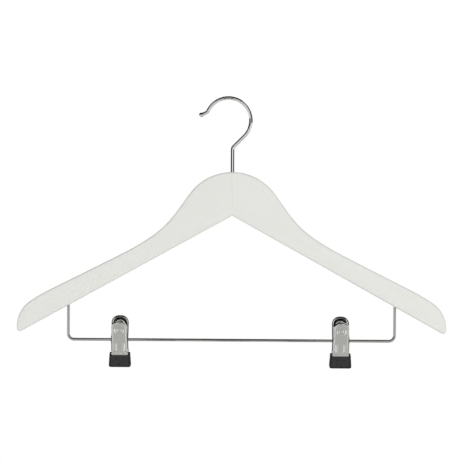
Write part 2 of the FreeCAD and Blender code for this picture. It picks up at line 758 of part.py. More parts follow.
def jaw(label, sheet, name):
    """Stamped jaw seen as a front one: rimmed thumb lever, ears at the pivot, beaded body and flat foot."""
    width, width_name = getattr(sheet, name), f"{sheet.Name}.{name}"
    body = new_body(label)
    pad(body, lever_sketch(body, f"{label}_lever", 0, width, 0), "Sizes.rim_depth", inward=True)
    pad(body, channel_sketch(body, f"{label}_channel"), width_name, symmetric=True)

    def on_outer_face(point):
        from_knee = Vector(point.y, point.z) - JawLines.knee
        lever = abs(from_knee.dot(JawLines.inward))
        plate = abs(from_knee.dot(JawLines.body_inward))
        return min(lever, plate)

    bend_depth = sizes.jaw_bend_radius * (1 / math.cos(JawLines.up.getAngle(JawLines.down * -1) / 2) - 1)

    def outer_edge(edge):
        points = points_along(edge)
        at_side = all(abs(abs(p.x) - width / 2) < NEAR for p in points)
        at_tip = all(p.z > sizes.ear_rise for p in points)
        near = all(on_outer_face(p) < NEAR for p in points)
        in_bend = at_side and edge.Length < width / 2 and all(on_outer_face(p) < bend_depth + NEAR for p in points)
        return (near and (at_side or at_tip)) or (in_bend and edge.Curve.TypeId == "Part::GeomCircle")

    round_edges(body, f"{label}_edges", "Chamfer", "Sizes.jaw_edge_bevel", outer_edge)
    for side in (-1, 1):
        bead(body, f"{label}_bead{side + 2}", side, fits.bead_radius, "PartDesign::Revolution")
    pocket(body, lever_sketch(body, f"{label}_tray", sizes.sheet, width, sizes.sheet))
    pocket(body, hollow_sketch(body, f"{label}_hollow"), f"{width_name} - 2 * Sizes.sheet", symmetric=True)
    pad(body, foot_sketch(body, f"{label}_foot"), "Sizes.foot_width", symmetric=True)
    for side in (-1, 1):
        flare = flare_sketch(body, f"{label}_flare{side + 2}", width, side)
        pocket(body, flare, "2 * Fits.lever_reach", symmetric=True)
    dish(body, label)
    for side in (-1, 1):
        bead(body, f"{label}_flute{side + 2}", side, fits.bead_radius - sizes.sheet, "PartDesign::Groove")
    hole = circle_sketch(body, f"{label}_ear_hole", "YZ_Plane", "Fits.ear_hole")
    pocket(body, hole, "2 * Sizes.clip_width", symmetric=True)
    return body


def pad_boot(label):
    """Rubber boot pushed over a jaw's foot: rounded outside with three pips, ribbed across its gripping face."""
    body = new_body(label)
    top, bottom = sizes.pad_top_width / 2, sizes.pad_bottom_width / 2
    corners = [
        (Vector(top, -sizes.pad_top), 0),
        (Vector(-top, -sizes.pad_top), 0),
        (Vector(-bottom, -sizes.pad_bottom), sizes.pad_corner),
        (Vector(bottom, -sizes.pad_bottom), sizes.pad_corner),
    ]
    outline = new_sketch(body, f"{label}_outline", "XZ_Plane", "Sizes.jaw_gap / 2")
    draw(outline, rounded(corners))
    tie_radii(outline, ("Sizes.pad_corner", "Sizes.pad_corner"))
    pad(body, outline, "Fits.pad_depth")
    round_edges(body, f"{label}_edges", "Fillet", "Sizes.pad_edge_radius",
                lambda edge: all(abs(p.y + fits.pad_face) < NEAR for p in points_along(edge)))

    def window(name, height, half, low, high, **cut):
        sketch = new_sketch(body, name, "XZ_Plane", height)
        points = [Vector(half, low), Vector(half, high), Vector(-half, high), Vector(-half, low)]
        draw(sketch, rounded([(point, 0) for point in points]))
        return pocket(body, sketch, **cut)

    above = sizes.overrun - sizes.pad_top
    slot = sizes.foot_width / 2 + sizes.slot_clearance
    window(f"{label}_slot", "Fits.slot_middle", slot, -sizes.foot_end - sizes.slot_clearance, above,
           length="Fits.slot_height", symmetric=True)
    window(f"{label}_lip", "Fits.pad_face", slot, -sizes.pad_top - sizes.pad_lip, above, length="Sizes.face_wall")
    pip_level = -sizes.pad_top - sizes.pip_drop
    pips = [(-sizes.pip_spread / 2, pip_level), (sizes.pip_spread / 2, pip_level), (0, pip_level - sizes.pip_step)]
    row = "-Sizes.pad_top - Sizes.pip_drop"
    places = [("-Sizes.pip_spread / 2", row), ("Sizes.pip_spread / 2", row), (None, f"{row} - Sizes.pip_step")]
    for n, (centre, place) in enumerate(zip(pips, places), start=1):
        pip = circle_sketch(body, f"{label}_pip{n}", "XZ_Plane", "Sizes.pip_diameter", "Fits.pad_face",
                            Vector(*centre), place)
        pocket(body, pip, "Sizes.pip_depth")
    grip = sizes.pad_top_width / 2 - sizes.groove_margin
    low = sizes.groove_lift - sizes.pad_bottom
    groove = window(f"{label}_groove", "Sizes.jaw_gap / 2", grip, low, low + sizes.groove_height,
                    length="Sizes.groove_depth", upward=True)
    grooves = body.newObject("PartDesign::LinearPattern", f"{label}_grooves")
    grooves.Originals = [groove]
    grooves.Direction = (plane(body, "Z_Axis"), [""])
    grooves.Occurrences = GROOVE_COUNT
    grooves.setExpression("Length", f"Sizes.groove_pitch * {GROOVE_COUNT - 1}")
    body.Tip = grooves
    doc.recompute()
    return body


def biarc(start, start_way, end, end_way):
    """Two arcs with a common tangent, from one point and direction to another."""
    chord = end - start
    both = start_way + end_way
    bend = 2 * (1 - start_way.dot(end_way))
    reach = (math.sqrt(chord.dot(both) ** 2 + bend * chord.dot(chord)) - chord.dot(both)) / bend
    first, second = start + start_way * reach, end - end_way * reach
    joint = (first + second) * 0.5
    return [(start, middle_of_arc(start, first, joint), joint), (joint, middle_of_arc(joint, second, end), end)]


def ring(centre, axis, radius, sides):
    """Closed ring of points round an axis."""
    spoke = axis.cross(Vector(1, 0, 0)).normalize() * radius
    points = [centre + Rotation(axis, 360 * n / sides).multVec(spoke) for n in range(sides)]
    return points + points[:1]


def spring(label):
    """Torsion spring round the pivot tube: open coils, with one leg up behind each lever."""
    radius = fits.coil_radius
    sweep = 180 - 2 * sizes.lever_lean + 360 * COIL_TURNS
    length = sizes.coil_pitch * sweep / 360
    rise = sizes.coil_pitch / (2 * math.pi)
    steps = 2 * COIL_TURNS + 1
    points, ways = [], []
    for n in range(steps + 1):
        share = n / steps
        angle = 180 + sizes.lever_lean + sweep * share
        points.append(Vector(length * (share - 0.5), radius * cosine(angle), radius * sine(angle)))
        ways.append(Vector(rise, -radius * sine(angle), radius * cosine(angle)).normalize())
    front_end = points[0] - ways[0] * sizes.spring_leg
    back_end = points[-1] + ways[-1] * sizes.spring_leg
    edges = [Part.makeLine(front_end, points[0])]
    for n in range(steps):
        edges += [Part.Arc(*arc).toShape() for arc in biarc(points[n], ways[n], points[n + 1], ways[n + 1])]
    edges.append(Part.makeLine(points[-1], back_end))
    path = Part.Wire(edges)
    section = Part.makePolygon(ring(front_end, ways[0], sizes.spring_wire / 2, WIRE_SIDES))
    item = doc.addObject("Part::Feature", label)
    item.Label = label
    item.Shape = path.makePipeShell([section], True, False)
    along = path.discretize(Distance=sizes.spring_wire / 4)
    apart = int(math.pi * radius / (sizes.spring_wire / 4))
    gap = min((one - other).Length for n, one in enumerate(along) for other in along[n + apart:])
    print(f"{label}: least gap between turns {gap - sizes.spring_wire:.2f} mm")
    return item


def clip(side, place):
    """The six pieces of one clip, front jaw inside the back jaw's ears, all round one pivot tube on the bar."""
    pieces = []
    for piece, back in (
        (pivot_tube(f"{side}_pivot_tube"), False),
        (jaw(f"{side}_front_jaw", fits, "front_width"), False),
        (jaw(f"{side}_back_jaw", sizes, "clip_width"), True),
        (pad_boot(f"{side}_front_pad"), False),
        (pad_boot(f"{side}_back_pad"), True),
        (spring(f"{side}_spring"), False),
    ):
        seat_on_bar(piece, place, back)
        pieces.append(piece)
    return pieces


def main():
    pieces = [arm("left_arm", -1), arm("right_arm", 1), hook(), hook_sleeve(), clip_bar()]
    pieces += clip("left", "-Sizes.left_clip_place")
    pieces += clip("right", "Sizes.right_clip_place")
    doc.recompute()
    for item in doc.Objects:
        if "Invalid" in item.State or "Error" in item.State:
            raise RuntimeError(f"{item.Label} did not build: {item.State}")
    for piece in pieces:
        if piece.Shape.isNull() or not piece.Shape.isValid() or len(piece.Shape.Solids) != 1:
            raise RuntimeError(f"{piece.Label} is not one sound solid")
    os.makedirs("parts", exist_ok=True)
    for piece in pieces:
        piece.Shape.exportStep(f"parts/{piece.Label}.step")


main()
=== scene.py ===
import json
import math

import bmesh
import bpy
import numpy as np
from bpy.props import FloatProperty, FloatVectorProperty, PointerProperty
from mathutils import Euler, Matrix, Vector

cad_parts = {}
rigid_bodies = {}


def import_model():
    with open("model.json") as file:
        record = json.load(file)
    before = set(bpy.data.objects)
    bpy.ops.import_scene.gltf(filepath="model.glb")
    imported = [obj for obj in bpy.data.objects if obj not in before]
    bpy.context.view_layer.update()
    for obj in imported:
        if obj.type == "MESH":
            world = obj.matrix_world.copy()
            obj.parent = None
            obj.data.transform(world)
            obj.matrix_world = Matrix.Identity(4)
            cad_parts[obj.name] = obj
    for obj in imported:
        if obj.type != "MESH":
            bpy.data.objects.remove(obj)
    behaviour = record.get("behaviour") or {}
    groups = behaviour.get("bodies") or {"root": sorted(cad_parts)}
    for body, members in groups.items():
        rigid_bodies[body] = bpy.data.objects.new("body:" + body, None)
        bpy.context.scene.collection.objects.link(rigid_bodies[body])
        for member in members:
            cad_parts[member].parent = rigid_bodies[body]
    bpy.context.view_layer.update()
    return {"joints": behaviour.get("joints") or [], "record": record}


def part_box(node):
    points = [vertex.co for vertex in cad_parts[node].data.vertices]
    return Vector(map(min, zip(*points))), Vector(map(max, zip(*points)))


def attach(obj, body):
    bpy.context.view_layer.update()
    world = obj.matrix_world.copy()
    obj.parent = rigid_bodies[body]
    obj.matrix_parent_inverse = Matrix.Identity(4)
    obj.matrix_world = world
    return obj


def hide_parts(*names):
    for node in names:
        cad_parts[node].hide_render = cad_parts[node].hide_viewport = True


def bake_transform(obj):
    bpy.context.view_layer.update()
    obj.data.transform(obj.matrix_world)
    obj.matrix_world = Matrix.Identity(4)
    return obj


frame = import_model()

bl_info = {
    "name": "Skirt Hanger",
    "version": (1, 0, 0),
    "blender": (4, 5, 0),
    "location": "View3D > Sidebar > Hanger",
    "description": "Wooden hanger with a wire hook, a wire bar and two sprung clips",
    "category": "Object",
}

# Lengths are in metres and angles in radians. The frame gives each clip's pivot, from the joint that
# opens it, and the tilt at which the clips hang, from the axis of their grip.
PIVOTS = {
    joint["parent"].split("_")[0]: np.array(joint["pos_m"])
    for joint in frame["joints"]
    if joint["name"].endswith("clip_open")
}
GRIP_AXIS = next(mount["axis"] for mount in frame["record"]["mounts"] if mount["name"] == "left_grip")
CLIP_TILT = math.atan2(GRIP_AXIS[1], -GRIP_AXIS[2])
MERGE_DISTANCE = 1e-6
SHARP_ANGLE = math.radians(35)
QUARTER = math.pi / 2
COIL_TURNS = 4
GROOVES = 5

# Size of one bump of each finish's noise, along X, Y and Z. The drawn lines have theirs along the wire,
# then as shares of the wire's radius.
CELLS = {
    "fibres": (0.09, 0.005, 0.0035),
    "pores": (0.012, 0.0009, 0.0006),
    "clouds": (0.11, 0.05, 0.05),
    "skin": (0.004, 0.004, 0.004),
    "drawn_lines": (0.02, 0.18, 0.18),
    "handling": (0.009, 0.009, 0.009),
    "rolled_lines": (0.00035, 0.00035, 0.02),
    "plating": (0.004, 0.004, 0.006),
    "specks": (0.0007, 0.0007, 0.0007),
    "pits": (0.0006, 0.0006, 0.0006),
    "bloom": (0.006, 0.006, 0.006),
    "tool_rings": (0.02, 0.02, 0.0002),
    "dull_steel": (0.003, 0.003, 0.003),
}
# Depth of the finest relief, on wood, on metal and on rubber.
GRAIN_DEPTH = 0.00005
LINE_DEPTH = 0.00002
PIT_DEPTH = 0.00006
# Shift that makes the left arm's grain differ, and how far from the middle the painted shade on the
# wood's upper edges grows to full strength.
GRAIN_SHIFT = 0.31
EDGE_SHADE_REACH = 0.06

# Stage: how far off the floor fades to white, and the place of each softbox with its width and height.
WHITE = (1.0, 1.0, 1.0, 1.0)
FLOOR_FADE = (0.55, 1.5)
SOFTBOXES = {
    "key": ((1.25, -1.55, 0.05), (0.7, 0.9)),
    "fill": ((-1.25, -1.55, 0.05), (0.7, 0.9)),
    "back": ((0.0, 2.2, -0.2), (1.2, 0.9)),
}

# Cards that only the metal mirrors, inside a round room. Those on the floor lie one step above another.
BLACK = 0.0
CARD_HIDDEN_FROM = ("camera", "diffuse", "shadow", "transmission")
CARD_STEP = 0.005
ROOM_RADIUS = 2.6
ROOM_TOP = 1.2
# Upright cards behind the camera: left, right, low and high end. The low ones stand on the floor.
CARD_DISTANCE = 2.2
FRONT_CARD = (-0.6, 0.6, -0.02, 0.10)
HIGH_CARD = (-0.9, 0.9, 0.11, 0.44)
LOW_CARDS = {"low": (-0.2, 0.2), "low_left": (-0.375, -0.33), "low_right": (0.33, 0.375)}
LOW_CARD_TOP = -0.03
# Grey card on the floor: left, right, front and back end. Dark aisle: half its width at two depths.
GREY_FLOOR = (-1.8, 1.8, -1.0, 0.4)
AISLE = ((0.13, -0.75), (0.2, -CARD_DISTANCE))
# Glowing cards on the floor at both sides: near and far end beside the middle, then front and back end.
GLOWING_CARDS = {"inner": (0.02, 0.07), "outer": (0.28, 0.35)}
GLOWING_RUN = (-0.29, -0.08)
# Dark card overhead: depth and height along its path, and half its width.
OVER_PATH = ((-1.9, 0.95), (0.2, 1.3), (1.9, 0.85))
OVER_HALF = 0.7
# Dark cards beside the hanger: side, path seen from above, rows of a height and a share of the way out.
SIDE_CARDS = {
    "left": (-1, ((1.0, -1.43), (1.6, 0.9), (0.6, 2.2))),
    "right": (1, ((1.0, -1.4), (1.4, 0.7))),
}
SIDE_ROWS = ((-0.05, 1), (0.9, 1), (1.35, 0.45))


def size(name, description, default):
    """A length that a user may change."""
    return FloatProperty(
        name=name, description=description, default=default, min=0.0, unit="LENGTH", precision=4
    )


def position(name, description, default):
    """A place on either side of the origin that a user may change."""
    return FloatProperty(name=name, description=description, default=default, unit="LENGTH", precision=4)


def angle(name, description, degrees):
    """An angle that a user may change."""
    default = math.radians(degrees)
    return FloatProperty(name=name, description=description, default=default, subtype="ANGLE")


def share(name, description, default):
    """A share from nothing to all that a user may change."""
    return FloatProperty(
        name=name, description=description, default=default, min=0.0, max=1.0, subtype="FACTOR"
    )


def strength(name, description, default, unit="NONE"):
    """A strength of light, from nothing up, that a user may change."""
    return FloatProperty(name=name, description=description, default=default, min=0.0, unit=unit)


def colour(name, description, default):
    """A colour that a user may change."""
    return FloatVectorProperty(
        name=name, description=description, default=default, size=3, min=0.0, max=1.0, subtype="COLOR"
    )


class HANGER_PG_arms(bpy.types.PropertyGroup):
    """Outline of an arm, from the dome over the joint along its upper edge to the tip."""

    joint_height: size("Joint height", "Height of the glued joint under the hook", 0.0452)
    dome_radius: size("Dome radius", "Radius of the dome under the hook", 0.0543)
    flank_slope: angle("Flank slope", "Steepest fall of the upper edge, beside the dome", 54.3)
    flank_length: size("Flank length", "Straight stretch at the steepest fall", 0.0235)
    waist_radius: size("Waist radius", "Hollow bend below the flank", 0.110)
    waist_slope: angle("Waist slope", "Fall of the upper edge after the hollow bend", 33.0)
    shoulder_radius: size("Shoulder radius", "Slow bend into the shoulder", 0.315)
    shoulder_slope: angle("Shoulder slope", "Fall of the straight shoulder", 26.75)
    end_radius: size("End radius", "Bend over the end of the shoulder", 0.151)
    end_slope: angle("End slope", "Fall of the upper edge where the nose begins", 35.25)
    nose_radius: size("Nose radius", "Large bend of the arm's end", 0.03165)
    tip_radius: size("Tip radius", "Small bend under the nose", 0.003)
    underside_slope: angle("Underside slope", "Fall of the straight underside", 28.97)
    edge_radius: size("Edge radius", "Rounding along all edges of the wood", 0.0022)
    joint_ease: size("Joint ease", "Eased corner on each side of the glued joint", 0.00018)
    sleeve_hole: size("Sleeve hole", "Diameter of the hole for the hook's sleeve", 0.0067)
    leg_hole: size("Leg hole", "Diameter of the holes for the bar's legs", 0.0031)


class HANGER_PG_hook(bpy.types.PropertyGroup):
    """Bent wire of the hook, from its headed stem to the ball."""

    wire: size("Wire", "Diameter of the hook's wire", 0.0038)
    radius: size("Hook radius", "Radius of the round hook at the middle of the wire", 0.0233)
    offset: size("Offset", "How far the round hook's centre lies beside the stem", 0.0045)
    sweep: angle("Sweep", "Where the round hook ends, from the right over the top", 155.0)
    neck_slope: angle("Neck slope", "Rise of the slanting neck", 45.0)
    neck_radius: size("Neck radius", "Bend between stem and neck", 0.0045)
    lip_radius: size("Lip radius", "Bend that turns the lip outwards", 0.0045)
    lip_turn: angle("Lip turn", "How far the lip turns outwards", 40.0)
    lip_length: size("Lip length", "Straight lip up to the middle of the ball", 0.0053)
    ball: size("Ball", "Diameter of the ball on the lip", 0.0051)
    head: size("Head", "Diameter of the head under the sleeve", 0.0056)
    head_height: size("Head height", "Height of the head under the sleeve", 0.0018)
    head_edge: size("Head edge", "Chamfer of the head", 0.0004)
    sleeve_bore: size("Sleeve bore", "Diameter of the sleeve's bore", 0.00396)
    sleeve_band: size("Sleeve band", "Height of the sleeve's upper and lower band", 0.004)
    sleeve_waist: size("Sleeve waist", "Depth of the sleeve's waist", 0.0003)
    sleeve_edge: size("Sleeve edge", "Rounding of the sleeve's rims", 0.0003)


class HANGER_PG_bar(bpy.types.PropertyGroup):
    """Wire bar that carries the clips."""

    bend_radius: size("Bend radius", "Bend between the bar and its legs", 0.006)


class HANGER_PG_clips(bpy.types.PropertyGroup):
    """Stamped jaws, pivot tubes and springs of the clips, seen from the pivot on the bar."""

    sheet: size("Sheet", "Thickness of the stamped sheet", 0.0007)
    front_width: size("Front width", "Width of the front jaw", 0.0148)
    back_width: size("Back width", "Width of the back jaw, outside its ears", 0.0164)
    lever_lean: angle("Lever lean", "Lean of a thumb lever away from the clip's middle", 20.2)
    lever_reach: size("Lever reach", "From the pivot out to the sheet's bend", 0.004933)
    lever_length: size("Lever length", "Thumb lever from the bend to its tip", 0.0232)
    lever_corner: size("Lever corner", "Rounding of the thumb lever's tip", 0.0069)
    tip_crown: size("Tip crown", "How far the tip is higher in the middle than at its corners", 0.0004)
    fold_radius: size("Fold radius", "Outer radius of the folds along the sheet's sides", 0.0011)
    rim_depth: size("Rim depth", "Depth of the lever's folded rim", 0.0022)
    bend_radius: size("Bend radius", "Bend between lever and body", 0.0035)
    ear_radius: size("Ear radius", "Rounding of the ears round the pivot", 0.0037)
    ear_span: angle("Ear span", "Turn of an ear's round edge to each side of its lowest point", 68.0)
    ear_rise: size("Ear rise", "How far up the lever the ears begin", 0.008)
    flange_end: size("Flange end", "Depth of the side flanges where they end", 0.0016)
    flange_fade: size("Flange fade", "Length over which the flanges run out", 0.0008)
    body_drop: size("Body drop", "How far the body reaches below the pivot", 0.0126)
    joggle_depth: size("Joggle depth", "Outward step of the sheet above the pad", 0.0007)
    joggle_height: size("Joggle height", "Height of that step", 0.0015)
    joggle_radius: size("Joggle radius", "Rounding of that step", 0.0008)
    flare_height: size("Flare height", "How far above the step the sheet begins to widen", 0.0026)
    flare_radius: size("Flare radius", "Rounding where the sheet widens", 0.002)
    foot_reach: size("Foot reach", "From the clip's middle out to the foot", 0.0033)
    foot_width: size("Foot width", "Width of the foot inside the pad", 0.0176)
    foot_end: size("Foot end", "How far the foot reaches below the pivot", 0.0275)
    bead_offset: size("Bead offset", "Beads beside the middle of the body", 0.0041)
    bead_width: size("Bead width", "Width of a bead", 0.0028)
    bead_height: size("Bead height", "Rise of a bead", 0.0006)
    bead_start: size("Bead start", "Upper end of the beads below the bend", 0.0016)
    bead_stop: size("Bead stop", "Lower end of the beads below the bend", 0.0126)
    bead_run_out: size("Bead run-out", "Length over which a bead fades", 0.0014)
    dish: size("Dish", "Diameter of the thumb dish", 0.0114)
    dish_floor: size("Dish floor", "Diameter of the dish's floor", 0.003)
    dish_depth: size("Dish depth", "Depth of the thumb dish", 0.0011)
    dish_centre: size("Dish centre", "Middle of the dish above the bend", 0.0136)
    tube_bore: size("Tube bore", "Bore of the pivot tube", 0.00316)
    tube_wall: size("Tube wall", "Wall of the pivot tube", 0.00055)
    tube_flange: size("Tube flange", "How far the tube's rolled ends stand out", 0.0009)
    tube_flange_thickness: size("Flange thickness", "Thickness of the tube's rolled ends", 0.0005)
    tube_round: size("Tube rounding", "Rounding of the tube's rolled ends", 0.0002)
    ear_play: size("Ear play", "Play between the ears and the tube's rolled ends", 0.0001)
    spring_wire: size("Spring wire", "Diameter of the spring's wire", 0.0012)
    coil_radius: size("Coil radius", "Radius of the coil at the middle of its wire", 0.00298)
    coil_pitch: size("Coil pitch", "Advance of the coil with each turn", 0.002)
    spring_leg: size("Spring leg", "Length of a spring's straight legs", 0.0115)


class HANGER_PG_pads(bpy.types.PropertyGroup):
    """Rubber boots on the feet of the jaws, seen from the pivot on the bar."""

    jaw_gap: size("Jaw gap", "Room between two closed pads", 0.0003)
    depth: size("Depth", "Depth of a pad from its grip to its outer face", 0.0045)
    top: size("Top", "How far a pad's top lies below the pivot", 0.0144)
    bottom: size("Bottom", "How far a pad's lower end lies below the pivot", 0.0288)
    top_width: size("Top width", "Width of a pad at its top", 0.0212)
    bottom_width: size("Bottom width", "Width of a pad at its lower end", 0.0232)
    corner: size("Corner", "Rounding of a pad's lower corners", 0.0022)
    edge_radius: size("Edge radius", "Rounding round the outer face", 0.0012)
    grip_radius: size("Grip edge", "Rounding round the gripping face and the top", 0.0004)
    lip: size("Lip", "How much lower the outer wall is in the middle of its top", 0.0013)
    lip_width: size("Lip width", "Width of that lower stretch", 0.0168)
    lip_fade: size("Lip fade", "Width over which the top drops to that stretch", 0.0002)
    slot_near: size("Slot near", "From the clip's middle out to the inside of the slot", 0.0030)
    slot_far: size("Slot far", "From the clip's middle out to the outside of the slot", 0.0033)
    border: size("Border", "Width of the border round the outer panel", 0.0019)
    border_fade: size("Border fade", "Width of the slope between border and panel", 0.0005)
    panel_rise: size("Panel rise", "Rise of the outer panel above its border", 0.00018)
    pip: size("Pip", "Diameter of a pip", 0.0015)
    pip_depth: size("Pip depth", "Depth of a pip", 0.0004)
    pip_spread: size("Pip spread", "Distance between the upper two pips", 0.0076)
    pip_drop: size("Pip drop", "Upper pips below the pad's top", 0.0051)
    pip_step: size("Pip step", "Lower pip below the upper ones", 0.0062)
    groove_height: size("Groove height", "Height of a groove of the gripping face", 0.0009)
    groove_depth: size("Groove depth", "Depth of a groove of the gripping face", 0.0006)
    groove_pitch: size("Groove pitch", "Distance from groove to groove", 0.0022)
    groove_lift: size("Groove lift", "Lowest groove above the pad's lower end", 0.002)
    groove_margin: size("Groove margin", "Plain strip at both ends of the grooves", 0.0016)


class HANGER_PG_finishes(bpy.types.PropertyGroup):
    """Colours and gloss of the finishes."""

    wood: colour("Wood", "Pale lacquer on the wood", (0.775, 0.785, 0.745))
    grain: colour("Grain", "Fibres that show through the lacquer", (0.690, 0.690, 0.640))
    # Painted shade along the wood's upper edges, standing in for the weaker light from above and from the
    # left.
    edge: colour("Wood edge", "Thin lacquer along the wood's edges", (0.560, 0.555, 0.520))
    chrome: colour("Chrome", "Plating of the hook", (0.820, 0.810, 0.790))
    bar_chrome: colour("Bar chrome", "Plating of the bar", (0.500, 0.495, 0.480))
    nickel: colour("Nickel", "Plating of the stamped jaws", (0.720, 0.715, 0.690))
    # Painted shade on the sheet's cut edges, standing in for the dark surroundings that the rim mirrors.
    cut_edge_shade: colour("Cut edge", "Dull cut edge of the stamped sheet", (0.060, 0.055, 0.050))
    rubber: colour("Rubber", "Moulded rubber of the pads", (0.010, 0.010, 0.010))
    dust: colour("Rubber bloom", "Pale bloom on the rubber", (0.035, 0.035, 0.035))
    # Painted shade inside the sunk pips.
    pip: colour("Pip", "Dark inside of the pips", (0.002, 0.002, 0.002))
    steel: colour("Steel", "Drawn and turned steel inside", (0.520, 0.515, 0.505))
    wire_roughness: share("Wire roughness", "Roughness of the polished wire", 0.07)
    sheet_roughness: share("Sheet roughness", "Roughness of the plated sheet", 0.08)
    steel_roughness: share("Steel roughness", "Roughness of the springs' drawn steel", 0.3)
    rubber_roughness: share("Rubber roughness", "Roughness of the rubber", 0.52)


class HANGER_PG_stage(bpy.types.PropertyGroup):
    """Camera, floor, soft lamps and the cards that the metal mirrors."""

    distance: size("Distance", "From the camera to the hanger", 1.7)
    camera_side: position("Camera side", "Camera beside the stem", 0.0004)
    camera_level: position("Camera level", "Camera above the inside of the hook", -0.1373)
    focal: FloatProperty(
        name="Focal length", description="Focal length on a 36 mm sensor",
        default=126.7, min=1.0, unit="CAMERA",
    )
    roll: angle("Roll", "Turn of the camera about its own axis", 0.38)
    floor_level: position("Floor level", "Floor above the inside of the hook", -0.62)
    floor_reach: size("Floor reach", "Half the side of the floor", 8.0)
    floor_colour: colour("Floor", "Pale floor", (0.88, 0.88, 0.88))
    floor_lift: share("Floor lift", "Glow that brings the lit floor up to white in the picture", 0.42)
    world_light: share("World light", "Soft light from all round", 0.42)
    key_power: strength("Key power", "Right softbox", 15.2, "POWER")
    fill_power: strength("Fill power", "Left softbox", 11.0, "POWER")
    back_power: strength("Back power", "Softbox behind", 20.0, "POWER")
    room_grey: share("Room grey", "Brightness of the grey room that the metal mirrors", 0.85)
    floor_grey: share("Floor grey", "Brightness of the grey floor card that the metal mirrors", 0.57)
    front_glow: strength("Front glow", "Brightness of the card that lights the hook", 1.1)
    card_glow: strength("Card glow", "Brightness of the cards that light the jaws' pressed forms", 1.5)


def unit(course):
    """Direction of a course in its plane: cosine and sine of its angle."""
    return np.stack([np.cos(course), np.sin(course)], axis=-1)


def left_of(course):
    """Direction a quarter turn to the left of a course."""
    return np.stack([-np.sin(course), np.cos(course)], axis=-1)


def smooth_step(low, high, value):
    """0 below low, 1 above high, and three squares less two cubes of the share between."""
    part = np.clip((value - low) / (high - low), 0, 1)
    return part * part * (3 - 2 * part)


def hump(value):
    """1 at zero, falling as a squared cosine to 0 at plus and minus one."""
    return np.cos(QUARTER * np.clip(value, -1, 1)) ** 2


def normed(vectors):
    """Vectors at a length of one."""
    return vectors / np.linalg.norm(vectors, axis=-1, keepdims=True)


def distances(points):
    """Distance of each point of a path from its start, along the path."""
    return np.append(0, np.cumsum(np.linalg.norm(np.diff(points, axis=0), axis=1)))


def walk(start, course, moves, spacing=0.0004, bend_step=math.radians(3)):
    """Path in a plane as a chain of moves (run, turn, radius): straight for the run, then round an arc.

    A point of an arc is its centre less the radius along the left of the course there, and a positive
    turn bends to the left. Returns the points, the course at each point and each point's distance from
    the start.
    """
    at = np.array(start, float)
    points, courses = [], []
    for run, turn, radius in moves:
        if run > 0:
            steps = np.linspace(0, run, max(2, round(run / spacing)), endpoint=False)
            points.append(at + np.outer(steps, unit(course)))
            courses.append(np.full(len(steps), course))
            at = at + run * unit(course)
        if turn:
            reach = math.copysign(radius, turn)
            bent = course + np.linspace(0, turn, max(6, round(abs(turn) / bend_step)), endpoint=False)
            centre = at + reach * left_of(course)
            points.append(centre - reach * left_of(bent))
            courses.append(bent)
            course = course + turn
            at = centre - reach * left_of(course)
    points = np.concatenate([*points, at[None]])
    return points, np.append(np.concatenate(courses), course), distances(points)


def moves_through(corners, radii):
    """Start, course and moves of a walk along straight sides with their inner corners rounded.

    A rounding takes the radius times the tangent of half the turn from both sides of its corner.
    """
    corners, radii = np.array(corners, float), np.array(radii, float)
    sides = np.diff(corners, axis=0)
    courses = np.arctan2(sides[:, 1], sides[:, 0])
    turns = (np.diff(courses) + math.pi) % math.tau - math.pi
    cut = radii * np.tan(np.abs(turns) / 2)
    runs = np.linalg.norm(sides, axis=1) - np.append(cut, 0) - np.append(0, cut)
    return corners[0], courses[0], list(zip(runs, np.append(turns, 0), np.append(radii, 0)))


def at_lengths(path, lengths):
    """Points and courses of a walked path at these distances from its start."""
    points, courses, along = path
    place = np.stack([np.interp(lengths, along, points[:, n]) for n in (0, 1)], axis=-1)
    return place, np.interp(lengths, along, courses)


def in_front_plane(points):
    """Points of a plane as points of space: across to the right and up, with no depth."""
    return np.stack([points[..., 0], np.zeros(points.shape[:-1]), points[..., 1]], axis=-1)


def wire_rings(path, ways, radii, spread, sides=24):
    """Round wire: at each point of a path a ring of its radius, square to the path's way there.

    A point of a ring is the path's point plus the radius times the cosine and sine of a turn along two
    directions, the first square to the way and to the given spread, the second square to both. Also
    returns for each point the distance along the wire with the cosine and sine of the turn, for
    finishes that follow the wire.
    """
    ways = normed(ways)
    across = normed(np.cross(ways, spread))
    over = np.cross(ways, across)
    turn = np.linspace(0, math.tau, sides, endpoint=False)
    spokes = across[:, None] * np.cos(turn)[:, None] + over[:, None] * np.sin(turn)[:, None]
    drawn = np.stack(np.broadcast_arrays(distances(path)[:, None], np.cos(turn), np.sin(turn)), axis=-1)
    return path[:, None] + spokes * np.asarray(radii)[:, None, None], drawn


def cut_wire(path, ways, radius, spread, sides=24):
    """Round wire of one radius, closed at both ends by a ring of no width."""
    path, ways = (np.concatenate([rows[:1], rows, rows[-1:]]) for rows in (path, ways))
    radii = np.full(len(path), radius)
    radii[[0, -1]] = 0
    return wire_rings(path, ways, radii, spread, sides)


def turned(profile, axis, sides=48):
    """Turned piece: a profile of (distance along an axis, radius) carried round it, 0 for X or 2 for Z.

    Square to the axis, a point lies at its radius times the cosine and the sine of a turn.
    """
    turn = np.linspace(0, math.tau, sides, endpoint=False)
    along = np.broadcast_to(profile[:, :1], (len(profile), sides))
    first, second = profile[:, 1:] * np.cos(turn), profile[:, 1:] * np.sin(turn)
    return np.stack([along, first, second] if axis == 0 else [first, second, along], axis=-1)


def turned_profile(corners, radii):
    """Points of a profile for turning, along straight sides with rounded corners."""
    return walk(*moves_through(corners, radii), spacing=0.002, bend_step=math.radians(15))[0]


def on_clip(points, pivot, back=False):
    """Points seen from the pivot, put on the bar: a back piece faces back, and both tilt about it."""
    if back:
        points = points * (-1, -1, 1)
    c, s = math.cos(CLIP_TILT), math.sin(CLIP_TILT)
    return points @ np.array([[1, 0, 0], [0, c, s], [0, -s, c]]) + pivot


